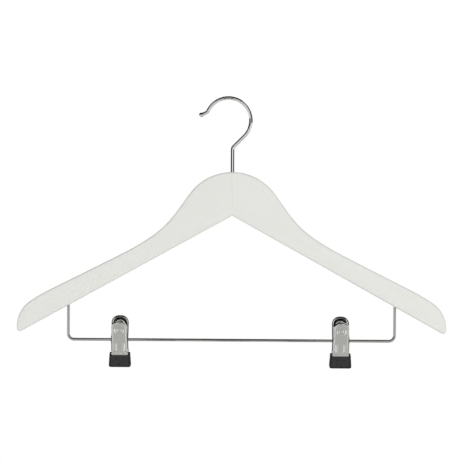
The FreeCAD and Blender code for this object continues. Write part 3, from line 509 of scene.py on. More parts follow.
def grid_faces(rows, columns, closed):
    """Quads between neighbours of a grid of points; a closed grid joins its last column to its first."""
    index = np.arange(rows * columns).reshape(rows, columns)
    if closed:
        index = np.concatenate([index, index[:, :1]], axis=1)
    corners = (index[:-1, :-1], index[1:, :-1], index[1:, 1:], index[:-1, 1:])
    return np.stack(corners, axis=-1).reshape(-1, 4)


def tidy_mesh(mesh, outwards):
    """Joins double points, faces a closed piece outwards and shades it smooth between sharp edges."""
    work = bmesh.new()
    work.from_mesh(mesh)
    bmesh.ops.remove_doubles(work, verts=work.verts, dist=MERGE_DISTANCE)
    if outwards:
        bmesh.ops.recalc_face_normals(work, faces=work.faces)
    work.to_mesh(mesh)
    work.free()
    mesh.shade_smooth()
    mesh.set_sharp_from_angle(angle=SHARP_ANGLE)


def sharpen_rim(mesh):
    """Marks the edges that have only one face as sharp, so that a sheet's cut edge stays crisp."""
    used = np.zeros(len(mesh.loops), np.int32)
    mesh.loops.foreach_get("edge_index", used)
    sharp = np.zeros(len(mesh.edges), bool)
    mesh.edges.foreach_get("use_edge_sharp", sharp)
    mesh.edges.foreach_set("use_edge_sharp", sharp | (np.bincount(used, minlength=len(sharp)) == 1))


def new_object(name, grids, polygons=(), outwards=True, **marks):
    """Object from grids of points, each with a flag that says if it closes, and from single polygons.

    Marks are vectors that finishes read by name; points without one get zeros.
    """
    points, faces, count = [], [], 0
    for grid, closed in grids:
        rows, columns = grid.shape[:2]
        points.append(grid.reshape(-1, 3))
        faces += (grid_faces(rows, columns, closed) + count).tolist()
        count += rows * columns
    for polygon in polygons:
        points.append(polygon)
        faces.append(list(range(count, count + len(polygon))))
        count += len(polygon)
    mesh = bpy.data.meshes.new(name)
    mesh.from_pydata(np.concatenate(points).tolist(), [], faces)
    for mark, values in marks.items():
        vectors = np.zeros((count, 3), np.float32)
        vectors[:values.size // 3] = values.reshape(-1, 3)
        mesh.attributes.new(mark, "FLOAT_VECTOR", "POINT").data.foreach_set("vector", vectors.ravel())
    tidy_mesh(mesh, outwards)
    if not outwards:
        sharpen_rim(mesh)
    item = bpy.data.objects.new(name, mesh)
    bpy.context.scene.collection.objects.link(item)
    return item


def seat(item, body, node, material):
    """Gives a piece its finish, the node that it stands for and, unless it bends, its body."""
    item.data.materials.append(material)
    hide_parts(node)
    if body:
        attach(item, body)


def cut_away(item, grids):
    """Takes closed turned solids out of a piece, and leaves no modifier behind."""
    cutter = new_object("cutter", [(grid, True) for grid in grids])
    knife = item.modifiers.new("cut", "BOOLEAN")
    knife.object, knife.operation, knife.solver = cutter, "DIFFERENCE", "EXACT"
    cut = bpy.data.meshes.new_from_object(item.evaluated_get(bpy.context.evaluated_depsgraph_get()))
    item.modifiers.clear()
    item.data = cut
    bpy.data.objects.remove(cutter)
    tidy_mesh(cut, True)


class Term:
    """A shader socket in a Python expression: an operator on it adds a Math node and gives its output."""

    def __init__(self, nodes, socket):
        self.nodes = nodes
        self.socket = socket

    def math(self, operation, *values):
        """Output of a Math node on these values."""
        return self.nodes.add("ShaderNodeMath", {"operation": operation}, dict(enumerate(values)))

    def outs(self, *names):
        """Other outputs of the same node."""
        return [Term(self.nodes, self.socket.node.outputs[name]) for name in names]

    def __add__(self, other):
        return self.math("ADD", self, other)

    def __radd__(self, other):
        return self.math("ADD", other, self)

    def __sub__(self, other):
        return self.math("SUBTRACT", self, other)

    def __rsub__(self, other):
        return self.math("SUBTRACT", other, self)

    def __mul__(self, other):
        return self.math("MULTIPLY", self, other)

    def __rmul__(self, other):
        return self.math("MULTIPLY", other, self)

    def __gt__(self, other):
        return self.math("GREATER_THAN", self, other)

    def __lt__(self, other):
        return self.math("LESS_THAN", self, other)

    def __abs__(self):
        return self.math("ABSOLUTE", self)


class Nodes:
    """Node tree of one finish."""

    def __init__(self, tree):
        self.tree = tree
        tree.nodes.clear()

    def add(self, kind, settings=None, sockets=None, output=0):
        """Adds a node: its settings are set first, then its sockets get their values or links."""
        node = self.tree.nodes.new(kind)
        for name, value in (settings or {}).items():
            setattr(node, name, value)
        for name, value in (sockets or {}).items():
            if isinstance(value, Term):
                self.tree.links.new(value.socket, node.inputs[name])
            else:
                node.inputs[name].default_value = value
        return Term(self, node.outputs[output]) if node.outputs else None

    def place(self):
        """Object coordinates."""
        return self.add("ShaderNodeTexCoord", output="Object")

    def mark(self, name):
        """Vector that the points of a mesh carry under this name."""
        return self.add("ShaderNodeAttribute", {"attribute_name": name}, output="Vector")

    def parts(self, vector, axes):
        """Parts of a vector along these axes."""
        return self.add("ShaderNodeSeparateXYZ", None, {"Vector": vector}).outs(*axes)

    def noise(self, vector, cell, turn=(0.0, 0.0, 0.0), detail=3.0, roughness=0.55):
        """Smooth noise with one bump per cell, named in CELLS, along axes turned by these angles."""
        sockets = {"Vector": vector, "Rotation": turn, "Scale": CELLS[cell]}
        cells = self.add("ShaderNodeMapping", {"vector_type": "TEXTURE"}, sockets)
        sockets = {"Vector": cells, "Scale": 1.0, "Detail": detail, "Roughness": roughness}
        return self.add("ShaderNodeTexNoise", None, sockets, output="Fac")

    def ramp(self, value, low, high, out_low=0.0, out_high=1.0):
        """Smooth rise from one value to another between two limits."""
        settings = {"interpolation_type": "SMOOTHSTEP"}
        limits = {"From Min": low, "From Max": high, "To Min": out_low, "To Max": out_high}
        return self.add("ShaderNodeMapRange", settings, {"Value": value, **limits})

    def mix(self, factor, one, other):
        """Blend of two colours, which go into sockets 6 and 7 of the Mix node."""
        settings = {"data_type": "RGBA"}
        return self.add("ShaderNodeMix", settings, {0: factor, 6: solid(one), 7: solid(other)}, output=2)

    def bump(self, height, distance, strength):
        """Normal over a height in units of a distance."""
        sockets = {"Height": height, "Distance": distance, "Strength": strength}
        return self.add("ShaderNodeBump", None, sockets)

    def shader(self, sockets):
        """Surface of a solid finish."""
        return self.add("ShaderNodeBsdfPrincipled", None, sockets)


def solid(colour_or_term):
    """A colour with its alpha, or the term as it is."""
    return colour_or_term if isinstance(colour_or_term, Term) else (*colour_or_term, 1.0)


def dimmed(tint, left_share):
    """A colour of which this share is left."""
    return [left_share * part for part in tint]


def finish_of(name, surface, *settings):
    """Material whose surface is made by a function of its nodes and these settings."""
    material = bpy.data.materials.new(name)
    material.use_nodes = True
    nodes = Nodes(material.node_tree)
    nodes.add("ShaderNodeOutputMaterial", None, {"Surface": surface(nodes, *settings)})
    return material


def wood_surface(nodes, arms, look):
    """Pale satin lacquer over straight fibres along each arm, with painted shade on the edges that face
    up.
    """
    x, y, z = nodes.parts(nodes.place(), "XYZ")
    left = x < 0.0
    halves = nodes.add("ShaderNodeCombineXYZ", None, {"X": abs(x), "Y": y + left * GRAIN_SHIFT, "Z": z})
    lean = (0.0, arms.underside_slope, 0.0)
    fibres = nodes.noise(halves, "fibres", lean, detail=5.0, roughness=0.6)
    pores = nodes.noise(halves, "pores", lean, detail=2.0)
    clouds = nodes.noise(halves, "clouds")
    skin = nodes.noise(halves, "skin")
    shown = nodes.ramp(fibres, 0.38, 0.72, 0.0, 0.14) + nodes.ramp(pores, 0.62, 0.74, 0.0, 0.10)
    tone = nodes.mix(shown + left * 0.04 + 0.06 * clouds, look.wood, look.grain)
    facing, rising = nodes.parts(nodes.add("ShaderNodeTexCoord", output="Normal"), "YZ")
    # Painted shade: edges that face up are mixed towards the edge colour, less over the dome, more on the
    # left arm, unevenly with the clouds.
    edge = nodes.ramp(abs(facing), 0.97, 0.45) * nodes.ramp(rising, -0.35, 0.5)
    away = nodes.ramp(abs(x), 0.0, EDGE_SHADE_REACH, 0.45)
    return nodes.shader({
        "Base Color": nodes.mix(edge * away * (0.12 + 0.30 * clouds + 0.18 * left), tone, look.edge),
        "Roughness": 0.36 + 0.14 * clouds + 0.06 * fibres,
        "Coat Weight": nodes.ramp(pores, 0.55, 0.75, 0.30, 0.20),
        "Coat Roughness": 0.22,
        "Specular IOR Level": 0.35,
        "Normal": nodes.bump(0.4 * skin + 0.5 * fibres - 0.5 * pores, GRAIN_DEPTH, 0.4),
    })


def drawn_surface(nodes, tint, roughness):
    """Bright drawn wire: faint lines along the wire and patches where it was handled."""
    lines = nodes.noise(nodes.mark("drawn"), "drawn_lines", detail=4.0)
    patches = nodes.noise(nodes.place(), "handling")
    return nodes.shader({
        "Base Color": nodes.mix(0.5 * lines, tint, dimmed(tint, 0.86)),
        "Metallic": 1.0,
        "Roughness": roughness * (0.55 + 0.45 * lines + 0.45 * patches),
        "Normal": nodes.bump(lines, LINE_DEPTH, 0.35),
    })


def plated_surface(nodes, look):
    """Bright plating on stamped sheet: fine rolling lines, patches, small specks, and duller cut edges
    with painted shade.
    """
    place = nodes.place()
    (cut,) = nodes.parts(nodes.mark("cut"), "X")
    lines = nodes.noise(place, "rolled_lines")
    patches = nodes.noise(place, "plating")
    specks = nodes.ramp(nodes.noise(place, "specks"), 0.62, 0.75)
    tone = nodes.mix(0.5 * lines + 0.25 * specks, look.nickel, dimmed(look.nickel, 0.80))
    polish = look.sheet_roughness * (0.6 + 0.5 * lines + 0.4 * patches)
    return nodes.shader({
        # Painted shade: the cut edges are mixed towards the near-black cut edge colour.
        "Base Color": nodes.mix(cut, tone, look.cut_edge_shade),
        "Metallic": 1.0,
        "Roughness": polish + 0.03 * specks + 0.2 * cut,
        "Normal": nodes.bump(lines, LINE_DEPTH, 0.15),
    })


def rubber_surface(nodes, look):
    """Moulded rubber: a pitted skin with a pale bloom in patches and on the panel, not in the pips, whose
    insides get painted shade.
    """
    place = nodes.place()
    panel, pip = nodes.parts(nodes.mark("moulded"), "XY")
    pits = nodes.noise(place, "pits", detail=4.0, roughness=0.6)
    bloom = nodes.noise(place, "bloom")
    dusty = nodes.ramp(bloom, 0.3, 0.8, 0.0, 0.3) + 0.15 * pits + 0.5 * panel
    return nodes.shader({
        # Painted shade: inside the pips the rubber is mixed towards the darker pip colour.
        "Base Color": nodes.mix(pip, nodes.mix(dusty, look.rubber, look.dust), look.pip),
        "Roughness": look.rubber_roughness - 0.1 + 0.16 * bloom + 0.08 * pits + 0.15 * pip,
        "Specular IOR Level": 0.3,
        "Normal": nodes.bump(pits, PIT_DEPTH, 0.5),
    })


def turned_surface(nodes, tint):
    """Turned steel: rings from the tool round the axis, with duller patches."""
    place = nodes.place()
    rings = nodes.noise(place, "tool_rings", detail=2.0)
    patches = nodes.noise(place, "dull_steel")
    return nodes.shader({
        "Base Color": nodes.mix(0.5 * patches, tint, dimmed(tint, 0.7)),
        "Metallic": 1.0,
        "Roughness": 0.24 + 0.14 * patches + 0.06 * rings,
        "Normal": nodes.bump(rings, LINE_DEPTH, 0.5),
    })


def arm_edges(arms, stations=190):
    """Upper and lower edge of the right arm from the joint to the tip, each as points and inward normals.

    The outline is a walk over dome, flank, waist, shoulder, end, nose and tip and back along the
    underside. The small tip circle touches the nose circle from inside and the underside, which gives
    the turn of both. Stations crowd towards the tip as a sine.
    """
    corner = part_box("right_arm")[1]
    slope, level = arms.underside_slope, corner.z
    straight = (
        corner.x
        - arms.dome_radius * math.sin(arms.flank_slope)
        - arms.flank_length * math.cos(arms.flank_slope)
        - arms.waist_radius * (math.sin(arms.flank_slope) - math.sin(arms.waist_slope))
        - arms.shoulder_radius * (math.sin(arms.waist_slope) - math.sin(arms.shoulder_slope))
        - arms.end_radius * (math.sin(arms.end_slope) - math.sin(arms.shoulder_slope))
        - arms.nose_radius * (1 - math.sin(arms.end_slope))
    ) / math.cos(arms.shoulder_slope)
    moves = [
        (0, -arms.flank_slope, arms.dome_radius),
        (arms.flank_length, arms.flank_slope - arms.waist_slope, arms.waist_radius),
        (0, arms.waist_slope - arms.shoulder_slope, arms.shoulder_radius),
        (straight, arms.shoulder_slope - arms.end_slope, arms.end_radius),
    ]
    nose_centre = walk((0, level), 0.0, moves)[0][-1] - left_of(-arms.end_slope) * arms.nose_radius
    from_notch = nose_centre - (0, level - arms.joint_height)
    inner = arms.nose_radius - arms.tip_radius
    fall = math.acos((from_notch @ left_of(-slope) - arms.tip_radius) / inner)
    underside = from_notch @ unit(-slope) + math.sin(fall) * inner
    moves += [
        (0, arms.end_slope + fall - slope - math.pi, arms.nose_radius),
        (0, -fall, arms.tip_radius),
        (underside, 0, 0),
    ]
    outline = walk((0, level), 0.0, moves, bend_step=math.radians(1))
    whole = outline[2][-1]
    tip = whole - underside - arms.tip_radius * fall / 2
    shares = np.insert(np.sin(np.linspace(0, QUARTER, stations)), 1, arms.joint_ease / tip)
    edges = []
    for lengths in (tip * shares, whole - (whole - tip) * shares):
        points, courses = at_lengths(outline, lengths)
        edges.append((points, -left_of(courses)))
    edges[1][1][:2] = (0, 1 / math.cos(slope))
    return edges


def arm_grid(arms, side, edge_steps=7):
    """Plate with rounded edges: at each station a loop of the upper and the lower edge's profile.

    A profile point lies on the edge plus an inset along its inward normal. Over the quarter turn of the
    rounding the inset is the radius times one less the sine, and the depth falls from the face by the
    radius times one less the cosine. The first loop is a little thinner, which eases the joint.
    """
    (upper, upper_normals), (lower, lower_normals) = arm_edges(arms)
    low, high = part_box("right_arm")
    half = (high.y - low.y) / 2
    turn = np.linspace(0, QUARTER, edge_steps)
    inset = arms.edge_radius * (1 - np.sin(turn))
    depth = half - arms.edge_radius * (1 - np.cos(turn))
    inset, depth = np.concatenate([inset, inset[::-1]]), np.concatenate([-depth, depth[::-1]])
    loops = []
    for points, normals, order in ((upper, upper_normals, 1), (lower, lower_normals, -1)):
        flat = points[:, None] + normals[:, None] * inset[::order][:, None]
        across = np.broadcast_to(depth[::order], flat.shape[:2])
        loops.append(np.stack([side * flat[..., 0], across, flat[..., 1]], axis=-1))
    grid = np.concatenate(loops, axis=1)
    grid[0, :, 1] *= (half - arms.joint_ease) / half
    return grid


def rod(centre, radius, low, high):
    """Plain upright rod with closed ends."""
    profile = np.array([(low, 0), (low, radius), (high, radius), (high, 0)])
    return turned(profile, 2) + (centre, 0, 0)


def hook_wire(hook, ball_steps=20):
    """Wire from its head up the stem, along the neck, round the hook and out to the ball, as rings.

    The ball's rings lie at the ball's middle less its radius times the cosine of a turn, and are as
    wide as its radius times the sine; they begin where the ball is as wide as the wire.
    """
    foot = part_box("hook")[0].z
    wire, ball, head = hook.wire / 2, hook.ball / 2, hook.head / 2
    drop = math.sqrt((hook.radius - wire) ** 2 - hook.offset**2)
    joint = np.array([-hook.offset, -drop]) + unit(hook.neck_slope - QUARTER) * hook.radius
    cut = hook.neck_radius * math.tan((QUARTER - hook.neck_slope) / 2)
    stem = joint[1] - joint[0] * math.tan(hook.neck_slope) - cut - foot
    neck = joint[0] / math.cos(hook.neck_slope) - cut
    moves = [
        (stem, hook.neck_slope - QUARTER, hook.neck_radius),
        (neck, hook.sweep - hook.neck_slope + QUARTER, hook.radius),
        (0, -hook.lip_turn, hook.lip_radius),
        (hook.lip_length + ball, 0, 0),
    ]
    path = walk((0, foot), QUARTER, moves, bend_step=math.radians(2))
    along = path[2]
    turn = np.linspace(math.asin(wire / ball), math.pi, ball_steps)
    bulge = along[-1] - ball - ball * np.cos(turn)
    bare = along[(along > hook.head_height) & (along < bulge[0])]
    lengths = np.concatenate([[0, 0, hook.head_edge, hook.head_height, hook.head_height], bare, bulge])
    radii = np.concatenate([
        [0, head - hook.head_edge, head, head, wire], np.full(len(bare), wire), ball * np.sin(turn)
    ])
    points, courses = at_lengths(path, lengths)
    return wire_rings(in_front_plane(points), in_front_plane(unit(courses)), radii, (0, 1, 0))


def bar_wire(bar):
    """Wire down one leg, along the bar and up the other leg, as rings along a walk with closed ends."""
    low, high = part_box("clip_bar")
    wire = (high.y - low.y) / 2
    left, right, level = low.x + wire, high.x - wire, low.z + wire
    corners = [(left, high.z), (left, level), (right, level), (right, high.z)]
    points, courses, _ = walk(*moves_through(corners, [bar.bend_radius] * 2), spacing=0.002)
    return cut_wire(in_front_plane(points), in_front_plane(unit(courses)), wire, (0, 1, 0))


def sleeve_profile(hook):
    """Closed profile of the sleeve, height and radius: two bands with round rims, a waist between."""
    low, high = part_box("hook_sleeve")
    bore, outer = hook.sleeve_bore / 2, (high.x - low.x) / 2
    waist, edge, step = outer - hook.sleeve_waist, hook.sleeve_edge, hook.sleeve_waist / 2
    middle = (low.z + high.z) / 2
    upper, lower = high.z - hook.sleeve_band, low.z + hook.sleeve_band
    corners = [
        (middle, bore), (high.z, bore), (high.z, outer), (upper, outer), (upper, waist),
        (lower, waist), (lower, outer), (low.z, outer), (low.z, bore), (middle, bore),
    ]
    return turned_profile(corners, [edge] * 2 + [step] * 4 + [edge] * 2)


def tube_profile(clips):
    """Closed profile of a pivot tube, distance along the bar and radius: a thin tube with rolled ends."""
    bore = clips.tube_bore / 2
    outer = bore + clips.tube_wall
    rim = outer + clips.tube_flange
    inside = clips.back_width / 2 + clips.ear_play
    end = inside + clips.tube_flange_thickness
    half = [(end, bore), (end, rim), (inside, rim), (inside, outer)]
    corners = [(0, bore), *half, *[(-along, radius) for along, radius in reversed(half)], (0, bore)]
    rolled, inner = clips.tube_round, clips.tube_round / 2
    return turned_profile(corners, [rolled] * 3 + [inner] * 2 + [rolled] * 3)


def flange_depth(clips, marks, along, ear_steps=30):
    """Depth of a jaw's side flanges at distances from its tip: the lever's rim, a round ear, a run-out.

    Round the pivot the edge is a circle: the pivot's own depth plus the ear's radius times the cosine
    of a turn.
    """
    knee, body_end = marks[1], marks[2]
    fall = math.atan2(clips.body_drop, clips.lever_reach - clips.foot_reach + clips.joggle_depth)
    turn = np.linspace(-clips.ear_span, clips.ear_span, ear_steps)
    ear_along = knee + clips.lever_reach * math.cos(fall) + clips.ear_radius * np.sin(turn)
    ear_depth = clips.lever_reach * math.sin(fall) + clips.ear_radius * np.cos(turn)
    places = [0, knee - clips.ear_rise, *ear_along, body_end, body_end + clips.flange_fade]
    return np.interp(along, places, [clips.rim_depth, clips.rim_depth, *ear_depth, clips.flange_end, 0])


def jaw_relief(clips, marks, across, along):
    """Depth of the pressed forms of a jaw.

    The dish sinks by a smooth step of the distance from its middle. Each bead rises as a hump across,
    with a smooth step at both ends.
    """
    knee = marks[1]
    from_middle = np.hypot(across, along - knee + clips.dish_centre)
    relief = clips.dish_depth * (1 - smooth_step(clips.dish_floor / 2, clips.dish / 2, from_middle))
    start, stop, fade = knee + clips.bead_start, knee + clips.bead_stop, clips.bead_run_out
    run = smooth_step(start, start + fade, along) - smooth_step(stop - fade, stop, along)
    for middle in (-clips.bead_offset, clips.bead_offset):
        relief -= clips.bead_height * run * hump((across - middle) / (clips.bead_width / 2))
    return relief


def jaw_grid(clips, width, columns=41, fold_steps=7, wall_steps=8):
    """Outer face of a jaw as a bent sheet: rows across the sheet, folded over into flanges at both sides.

    In the flat, half the outline is a walk from the tip over the corner and down to the foot. Each row
    runs from one flange's edge up the fold, across the face and down the other side. Over the quarter
    turn of the fold the inset from the outline is the radius times one less the sine, the depth the
    radius times one less the cosine. The side view then bends the flat sheet: a point is the side
    path's point plus its depth along the path's left.
    """
    knee = np.array([-clips.lever_reach, 0])
    corners = np.array([
        knee + unit(QUARTER + clips.lever_lean) * clips.lever_length,
        knee,
        (clips.joggle_depth - clips.foot_reach, -clips.body_drop),
        (-clips.foot_reach, -clips.body_drop - clips.joggle_height),
        (-clips.foot_reach, -clips.foot_end),
    ])
    bends = [clips.bend_radius, clips.joggle_radius, clips.joggle_radius]
    side_path = walk(*moves_through(corners, bends))
    marks = distances(corners)
    half, foot = width / 2, clips.foot_width / 2
    flare = marks[2] - clips.flare_height
    outline = [(0, 0), (half, clips.tip_crown), (half, flare), (foot, marks[3]), (foot, marks[4])]
    roundings = [clips.lever_corner, clips.flare_radius, clips.flare_radius]
    points, courses, _ = walk(*moves_through(outline, roundings))
    inward = left_of(courses)
    inward[0] = (0, 1 / math.cos(courses[0]))
    depth = flange_depth(clips, marks, points[:, 1])
    turn = np.linspace(QUARTER, 0, fold_steps)
    fold = np.minimum(clips.fold_radius, depth)
    wall = np.linspace(1, 0, wall_steps, endpoint=False)
    wall_depth = fold[:, None] + (depth - fold)[:, None] * wall
    fold_depth = fold[:, None] * (1 - np.cos(turn))
    inset = np.concatenate([np.zeros(wall_steps), clips.fold_radius * (1 - np.sin(turn))])
    flank = points[:, None] + inward[:, None] * inset[:, None]
    flank_depth = np.concatenate([wall_depth, fold_depth], axis=1)
    face = np.linspace(1, -1, columns)[1:-1]
    level = np.zeros((len(points), len(face)))
    across = np.concatenate([flank[..., 0], flank[:, -1:, 0] * face, -flank[:, ::-1, 0]], axis=1)
    down = np.concatenate([flank[..., 1], flank[:, -1:, 1] + level, flank[:, ::-1, 1]], axis=1)
    sunk = np.concatenate([flank_depth, level, flank_depth[:, ::-1]], axis=1)
    sunk = sunk + jaw_relief(clips, marks, across, down)
    place, course = at_lengths(side_path, down)
    bent = place + sunk[..., None] * left_of(course)
    return np.stack([across, bent[..., 0], bent[..., 1]], axis=-1)


def pad_columns(pads, count, edge_steps=8, side_steps=7, grip_steps=5):
    """Loop round a pad over faces, sides and quarter-turn corners, and the number of a side's columns.

    The loop is four rows: a share of the half width and an offset, which give the place across, then a
    share of the way from the outer face to the grip and an offset, which give the depth.
    """
    edge, grip = pads.edge_radius, pads.grip_radius
    front = np.linspace(-1, 1, count)
    turn = np.linspace(0, QUARTER, edge_steps)[1:]
    side = np.linspace(0, 1, side_steps)[1:-1]
    back = np.linspace(0, QUARTER, grip_steps)
    ones = np.ones_like
    right = np.concatenate([
        [ones(turn), edge * (np.sin(turn) - 1), 0 * turn, edge * (1 - np.cos(turn))],
        [ones(side), 0 * side, side, edge * (1 - side) - grip * side],
        [ones(back), grip * (np.cos(back) - 1), ones(back), grip * (np.sin(back) - 1)],
    ], axis=1)
    left = right[:, ::-1] * np.array([[-1], [-1], [1], [1]])
    outer = np.array([front, -edge * front, 0 * front, 0 * front])
    inner = np.array([-front, grip * front, ones(front), 0 * front])[:, 1:-1]
    return np.concatenate([outer, right, inner, left], axis=1), len(right[0])


def pad_levels(pads, grip_steps=5, side_steps=54, corner_steps=16):
    """Levels of a pad from its top down: height, share of the way, half width, outer face and grip.

    Near an end, each face comes in by the radius less the root of the radius squared less the missing
    height squared.
    """
    turn = np.linspace(0, QUARTER, grip_steps)
    top, bottom = -pads.top, -pads.bottom
    level = np.concatenate([
        top - pads.grip_radius * (1 - np.cos(turn)),
        np.linspace(top - pads.grip_radius, bottom + pads.corner, side_steps)[1:-1],
        bottom + pads.corner * (1 - np.sin(np.linspace(0, QUARTER, corner_steps))),
    ])

    def rounding(radius, height):
        missing = np.clip(radius - height, 0, radius)
        return radius - np.sqrt(radius**2 - missing**2)

    down_share = (top - level) / (top - bottom)
    half = (pads.top_width * (1 - down_share) + pads.bottom_width * down_share) / 2
    over = rounding(pads.grip_radius, top - level)
    half = half - rounding(pads.corner, level - bottom) - over
    outer = -pads.jaw_gap / 2 - pads.depth + rounding(pads.edge_radius, level - bottom) + over
    grip = -pads.jaw_gap / 2 - rounding(pads.grip_radius, level - bottom) - over
    return level, down_share, half, outer, grip


def pad_grids(pads, count=91):
    """Rubber boot as loops from level to level, its top as a second grid, and faces that close it.

    The outer face has a raised panel and three sunk pips, all smooth steps, and in the middle its top
    is lower by the lip. The gripping face has grooves that are smooth steps of the height. The last
    result marks panel and pips.
    """
    (half_share, aside, grip_share, inset), corner = pad_columns(pads, count)
    level, down_share, half, outer, grip = (row[:, None] for row in pad_levels(pads))
    across = half_share * half + aside
    depth = outer * (1 - grip_share) + grip * grip_share + inset
    height = np.broadcast_to(level, across.shape).copy()
    front, back = np.s_[:, :count], np.s_[:, count + corner - 1:2 * count + corner - 1]
    x = across[front]
    lip_half = pads.lip_width / 2
    lowered = pads.lip * (1 - smooth_step(lip_half - pads.lip_fade, lip_half, np.abs(x)))
    height[front] -= lowered * (1 - down_share)
    z = height[front]
    rim = np.minimum(half - np.abs(x), z + pads.bottom) - pads.border
    moulded = np.zeros((*across.shape, 3))
    moulded[front][..., 0] = smooth_step(0, pads.border_fade, rim)
    depth[front] -= pads.panel_rise * moulded[front][..., 0]
    row, spread = -pads.top - pads.pip_drop, pads.pip_spread / 2
    for pip_x, pip_z in ((-spread, row), (spread, row), (0, row - pads.pip_step)):
        away = np.hypot(x - pip_x, z - pip_z)
        moulded[front][..., 1] += 1 - smooth_step(pads.pip / 4, pads.pip / 2, away)
    depth[front] += pads.pip_depth * moulded[front][..., 1]
    lowest = pads.groove_lift - pads.bottom + pads.groove_height / 2
    grooves = np.zeros(z.shape)
    for n in range(GROOVES):
        away = np.abs(height[back] - lowest - n * pads.groove_pitch)
        grooves += 1 - smooth_step(pads.groove_height / 4, pads.groove_height / 2, away)
    run = pads.top_width / 2 - pads.groove_margin
    grooves *= 1 - smooth_step(run - pads.groove_height, run, np.abs(across[back]))
    depth[back] -= pads.groove_depth * grooves
    sides = np.stack([across, depth, height], axis=-1)
    near, far = sides[0][front[1]], sides[0][back[1]][::-1]
    outside, inside = near.copy(), near.copy()
    outside[:, 1] = -pads.slot_far
    inside[:, 1:] = (-pads.slot_near, -pads.top)
    top = np.stack([near, outside, inside, far])
    end = sides[0][count - 1:count + corner]
    right = np.concatenate([end, inside[-1:], outside[-1:]])
    closing = [right, right * (-1, 1, 1), sides[-1]]
    return [(sides, True), (top, False)], closing, moulded


def spring_wire(clips, coil_steps=220, leg_steps=12):
    """Torsion spring round the pivot: a coil that advances with its turn, and a straight leg at each end.

    A point of the coil is its advance along the bar with the radius times the cosine and sine of the
    turn. The legs leave along the coil's own way, the front one at the low end and the back one at the
    high end.
    """
    start = math.pi + clips.lever_lean
    sweep = math.pi - 2 * clips.lever_lean + COIL_TURNS * math.tau
    turn = start + np.linspace(0, sweep, coil_steps)
    rise, radius = clips.coil_pitch / math.tau, clips.coil_radius
    advance = rise * (turn - start - sweep / 2)
    coil = np.stack([advance, radius * np.cos(turn), radius * np.sin(turn)], axis=-1)
    ways = np.stack([np.full(coil_steps, rise), -radius * np.sin(turn), radius * np.cos(turn)], axis=-1)
    ways = normed(ways)
    leg = np.linspace(clips.spring_leg, 0, leg_steps, endpoint=False)[:, None]
    path = np.concatenate([coil[0] - ways[0] * leg, coil, (coil[-1] + ways[-1] * leg)[::-1]])
    ends = [np.tile(way, (leg_steps, 1)) for way in (ways[0], ways[-1])]
    ways = np.concatenate([ends[0], ways, ends[1]])
    return cut_wire(path, ways, clips.spring_wire / 2, (1, 0, 0), sides=16)


class HANGER_OT_arms(bpy.types.Operator):
    """Make the two wooden arms"""

    bl_idname = "hanger.arms"
    bl_label = "Wooden Arms"

    def execute(self, context):
        arms, look = context.scene.hanger_arms, context.scene.hanger_finishes
        wood = finish_of("lacquered_wood", wood_surface, arms, look)
        top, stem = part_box("right_arm")[1].z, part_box("hook")[0].z
        bar_low, bar_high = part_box("clip_bar")
        wire = (bar_high.y - bar_low.y) / 2
        for name, side in (("left", -1), ("right", 1)):
            grid = arm_grid(arms, side)
            item = new_object(f"{name}_arm_wood", [(grid, True)], [grid[0]])
            leg = bar_high.x - wire if side > 0 else bar_low.x + wire
            cut_away(item, [
                rod(0, arms.sleeve_hole / 2, stem - arms.edge_radius, top + arms.edge_radius),
                rod(leg, arms.leg_hole / 2, bar_low.z, bar_high.z),
            ])
            seat(item, "hanger", f"{name}_arm", wood)
        return {"FINISHED"}


class HANGER_OT_hook(bpy.types.Operator):
    """Make the wire hook with its ball"""

    bl_idname = "hanger.hook"
    bl_label = "Hook"

    def execute(self, context):
        look = context.scene.hanger_finishes
        chrome = finish_of("polished_hook_wire", drawn_surface, look.chrome, look.wire_roughness)
        rings, drawn = hook_wire(context.scene.hanger_hook)
        item = new_object("hook_bent_wire", [(rings, True)], drawn=drawn)
        seat(item, "hook", "hook", chrome)
        return {"FINISHED"}


class HANGER_OT_sleeve(bpy.types.Operator):
    """Make the sleeve in which the hook turns"""

    bl_idname = "hanger.sleeve"
    bl_label = "Hook Sleeve"

    def execute(self, context):
        look = context.scene.hanger_finishes
        steel = finish_of("turned_sleeve_steel", turned_surface, look.steel)
        points = turned(sleeve_profile(context.scene.hanger_hook), 2)
        item = new_object("hook_sleeve_turned", [(points, True)])
        seat(item, "hanger", "hook_sleeve", steel)
        return {"FINISHED"}


class HANGER_OT_bar(bpy.types.Operator):
    """Make the wire bar with its legs"""

    bl_idname = "hanger.bar"
    bl_label = "Clip Bar"

    def execute(self, context):
        look = context.scene.hanger_finishes
        chrome = finish_of("polished_bar_wire", drawn_surface, look.bar_chrome, look.wire_roughness)
        rings, drawn = bar_wire(context.scene.hanger_bar)
        item = new_object("clip_bar_wire", [(rings, True)], drawn=drawn)
        seat(item, "hanger", "clip_bar", chrome)
        return {"FINISHED"}


class HANGER_OT_jaws(bpy.types.Operator):
    """Make the stamped jaws of both clips"""

    bl_idname = "hanger.jaws"
    bl_label = "Clip Jaws"

    def execute(self, context):
        clips, look = context.scene.hanger_clips, context.scene.hanger_finishes
        nickel = finish_of("plated_sheet", plated_surface, look)
        for side, pivot in PIVOTS.items():
            for place, width in (("front", clips.front_width), ("back", clips.back_width)):
                points = on_clip(jaw_grid(clips, width), pivot, place == "back")
                # The first and the last column are the sheet's cut edges, which get painted shade.
                cut = np.zeros(points.shape)
                cut[:, [0, -1], 0] = 1
                item = new_object(f"{side}_{place}_jaw_sheet", [(points, False)], outwards=False, cut=cut)
                wall = item.modifiers.new("wall", "SOLIDIFY")
                wall.thickness, wall.offset, wall.use_even_offset = clips.sheet, -1, True
                seat(item, f"{side}_{place}", f"{side}_{place}_jaw", nickel)
        return {"FINISHED"}


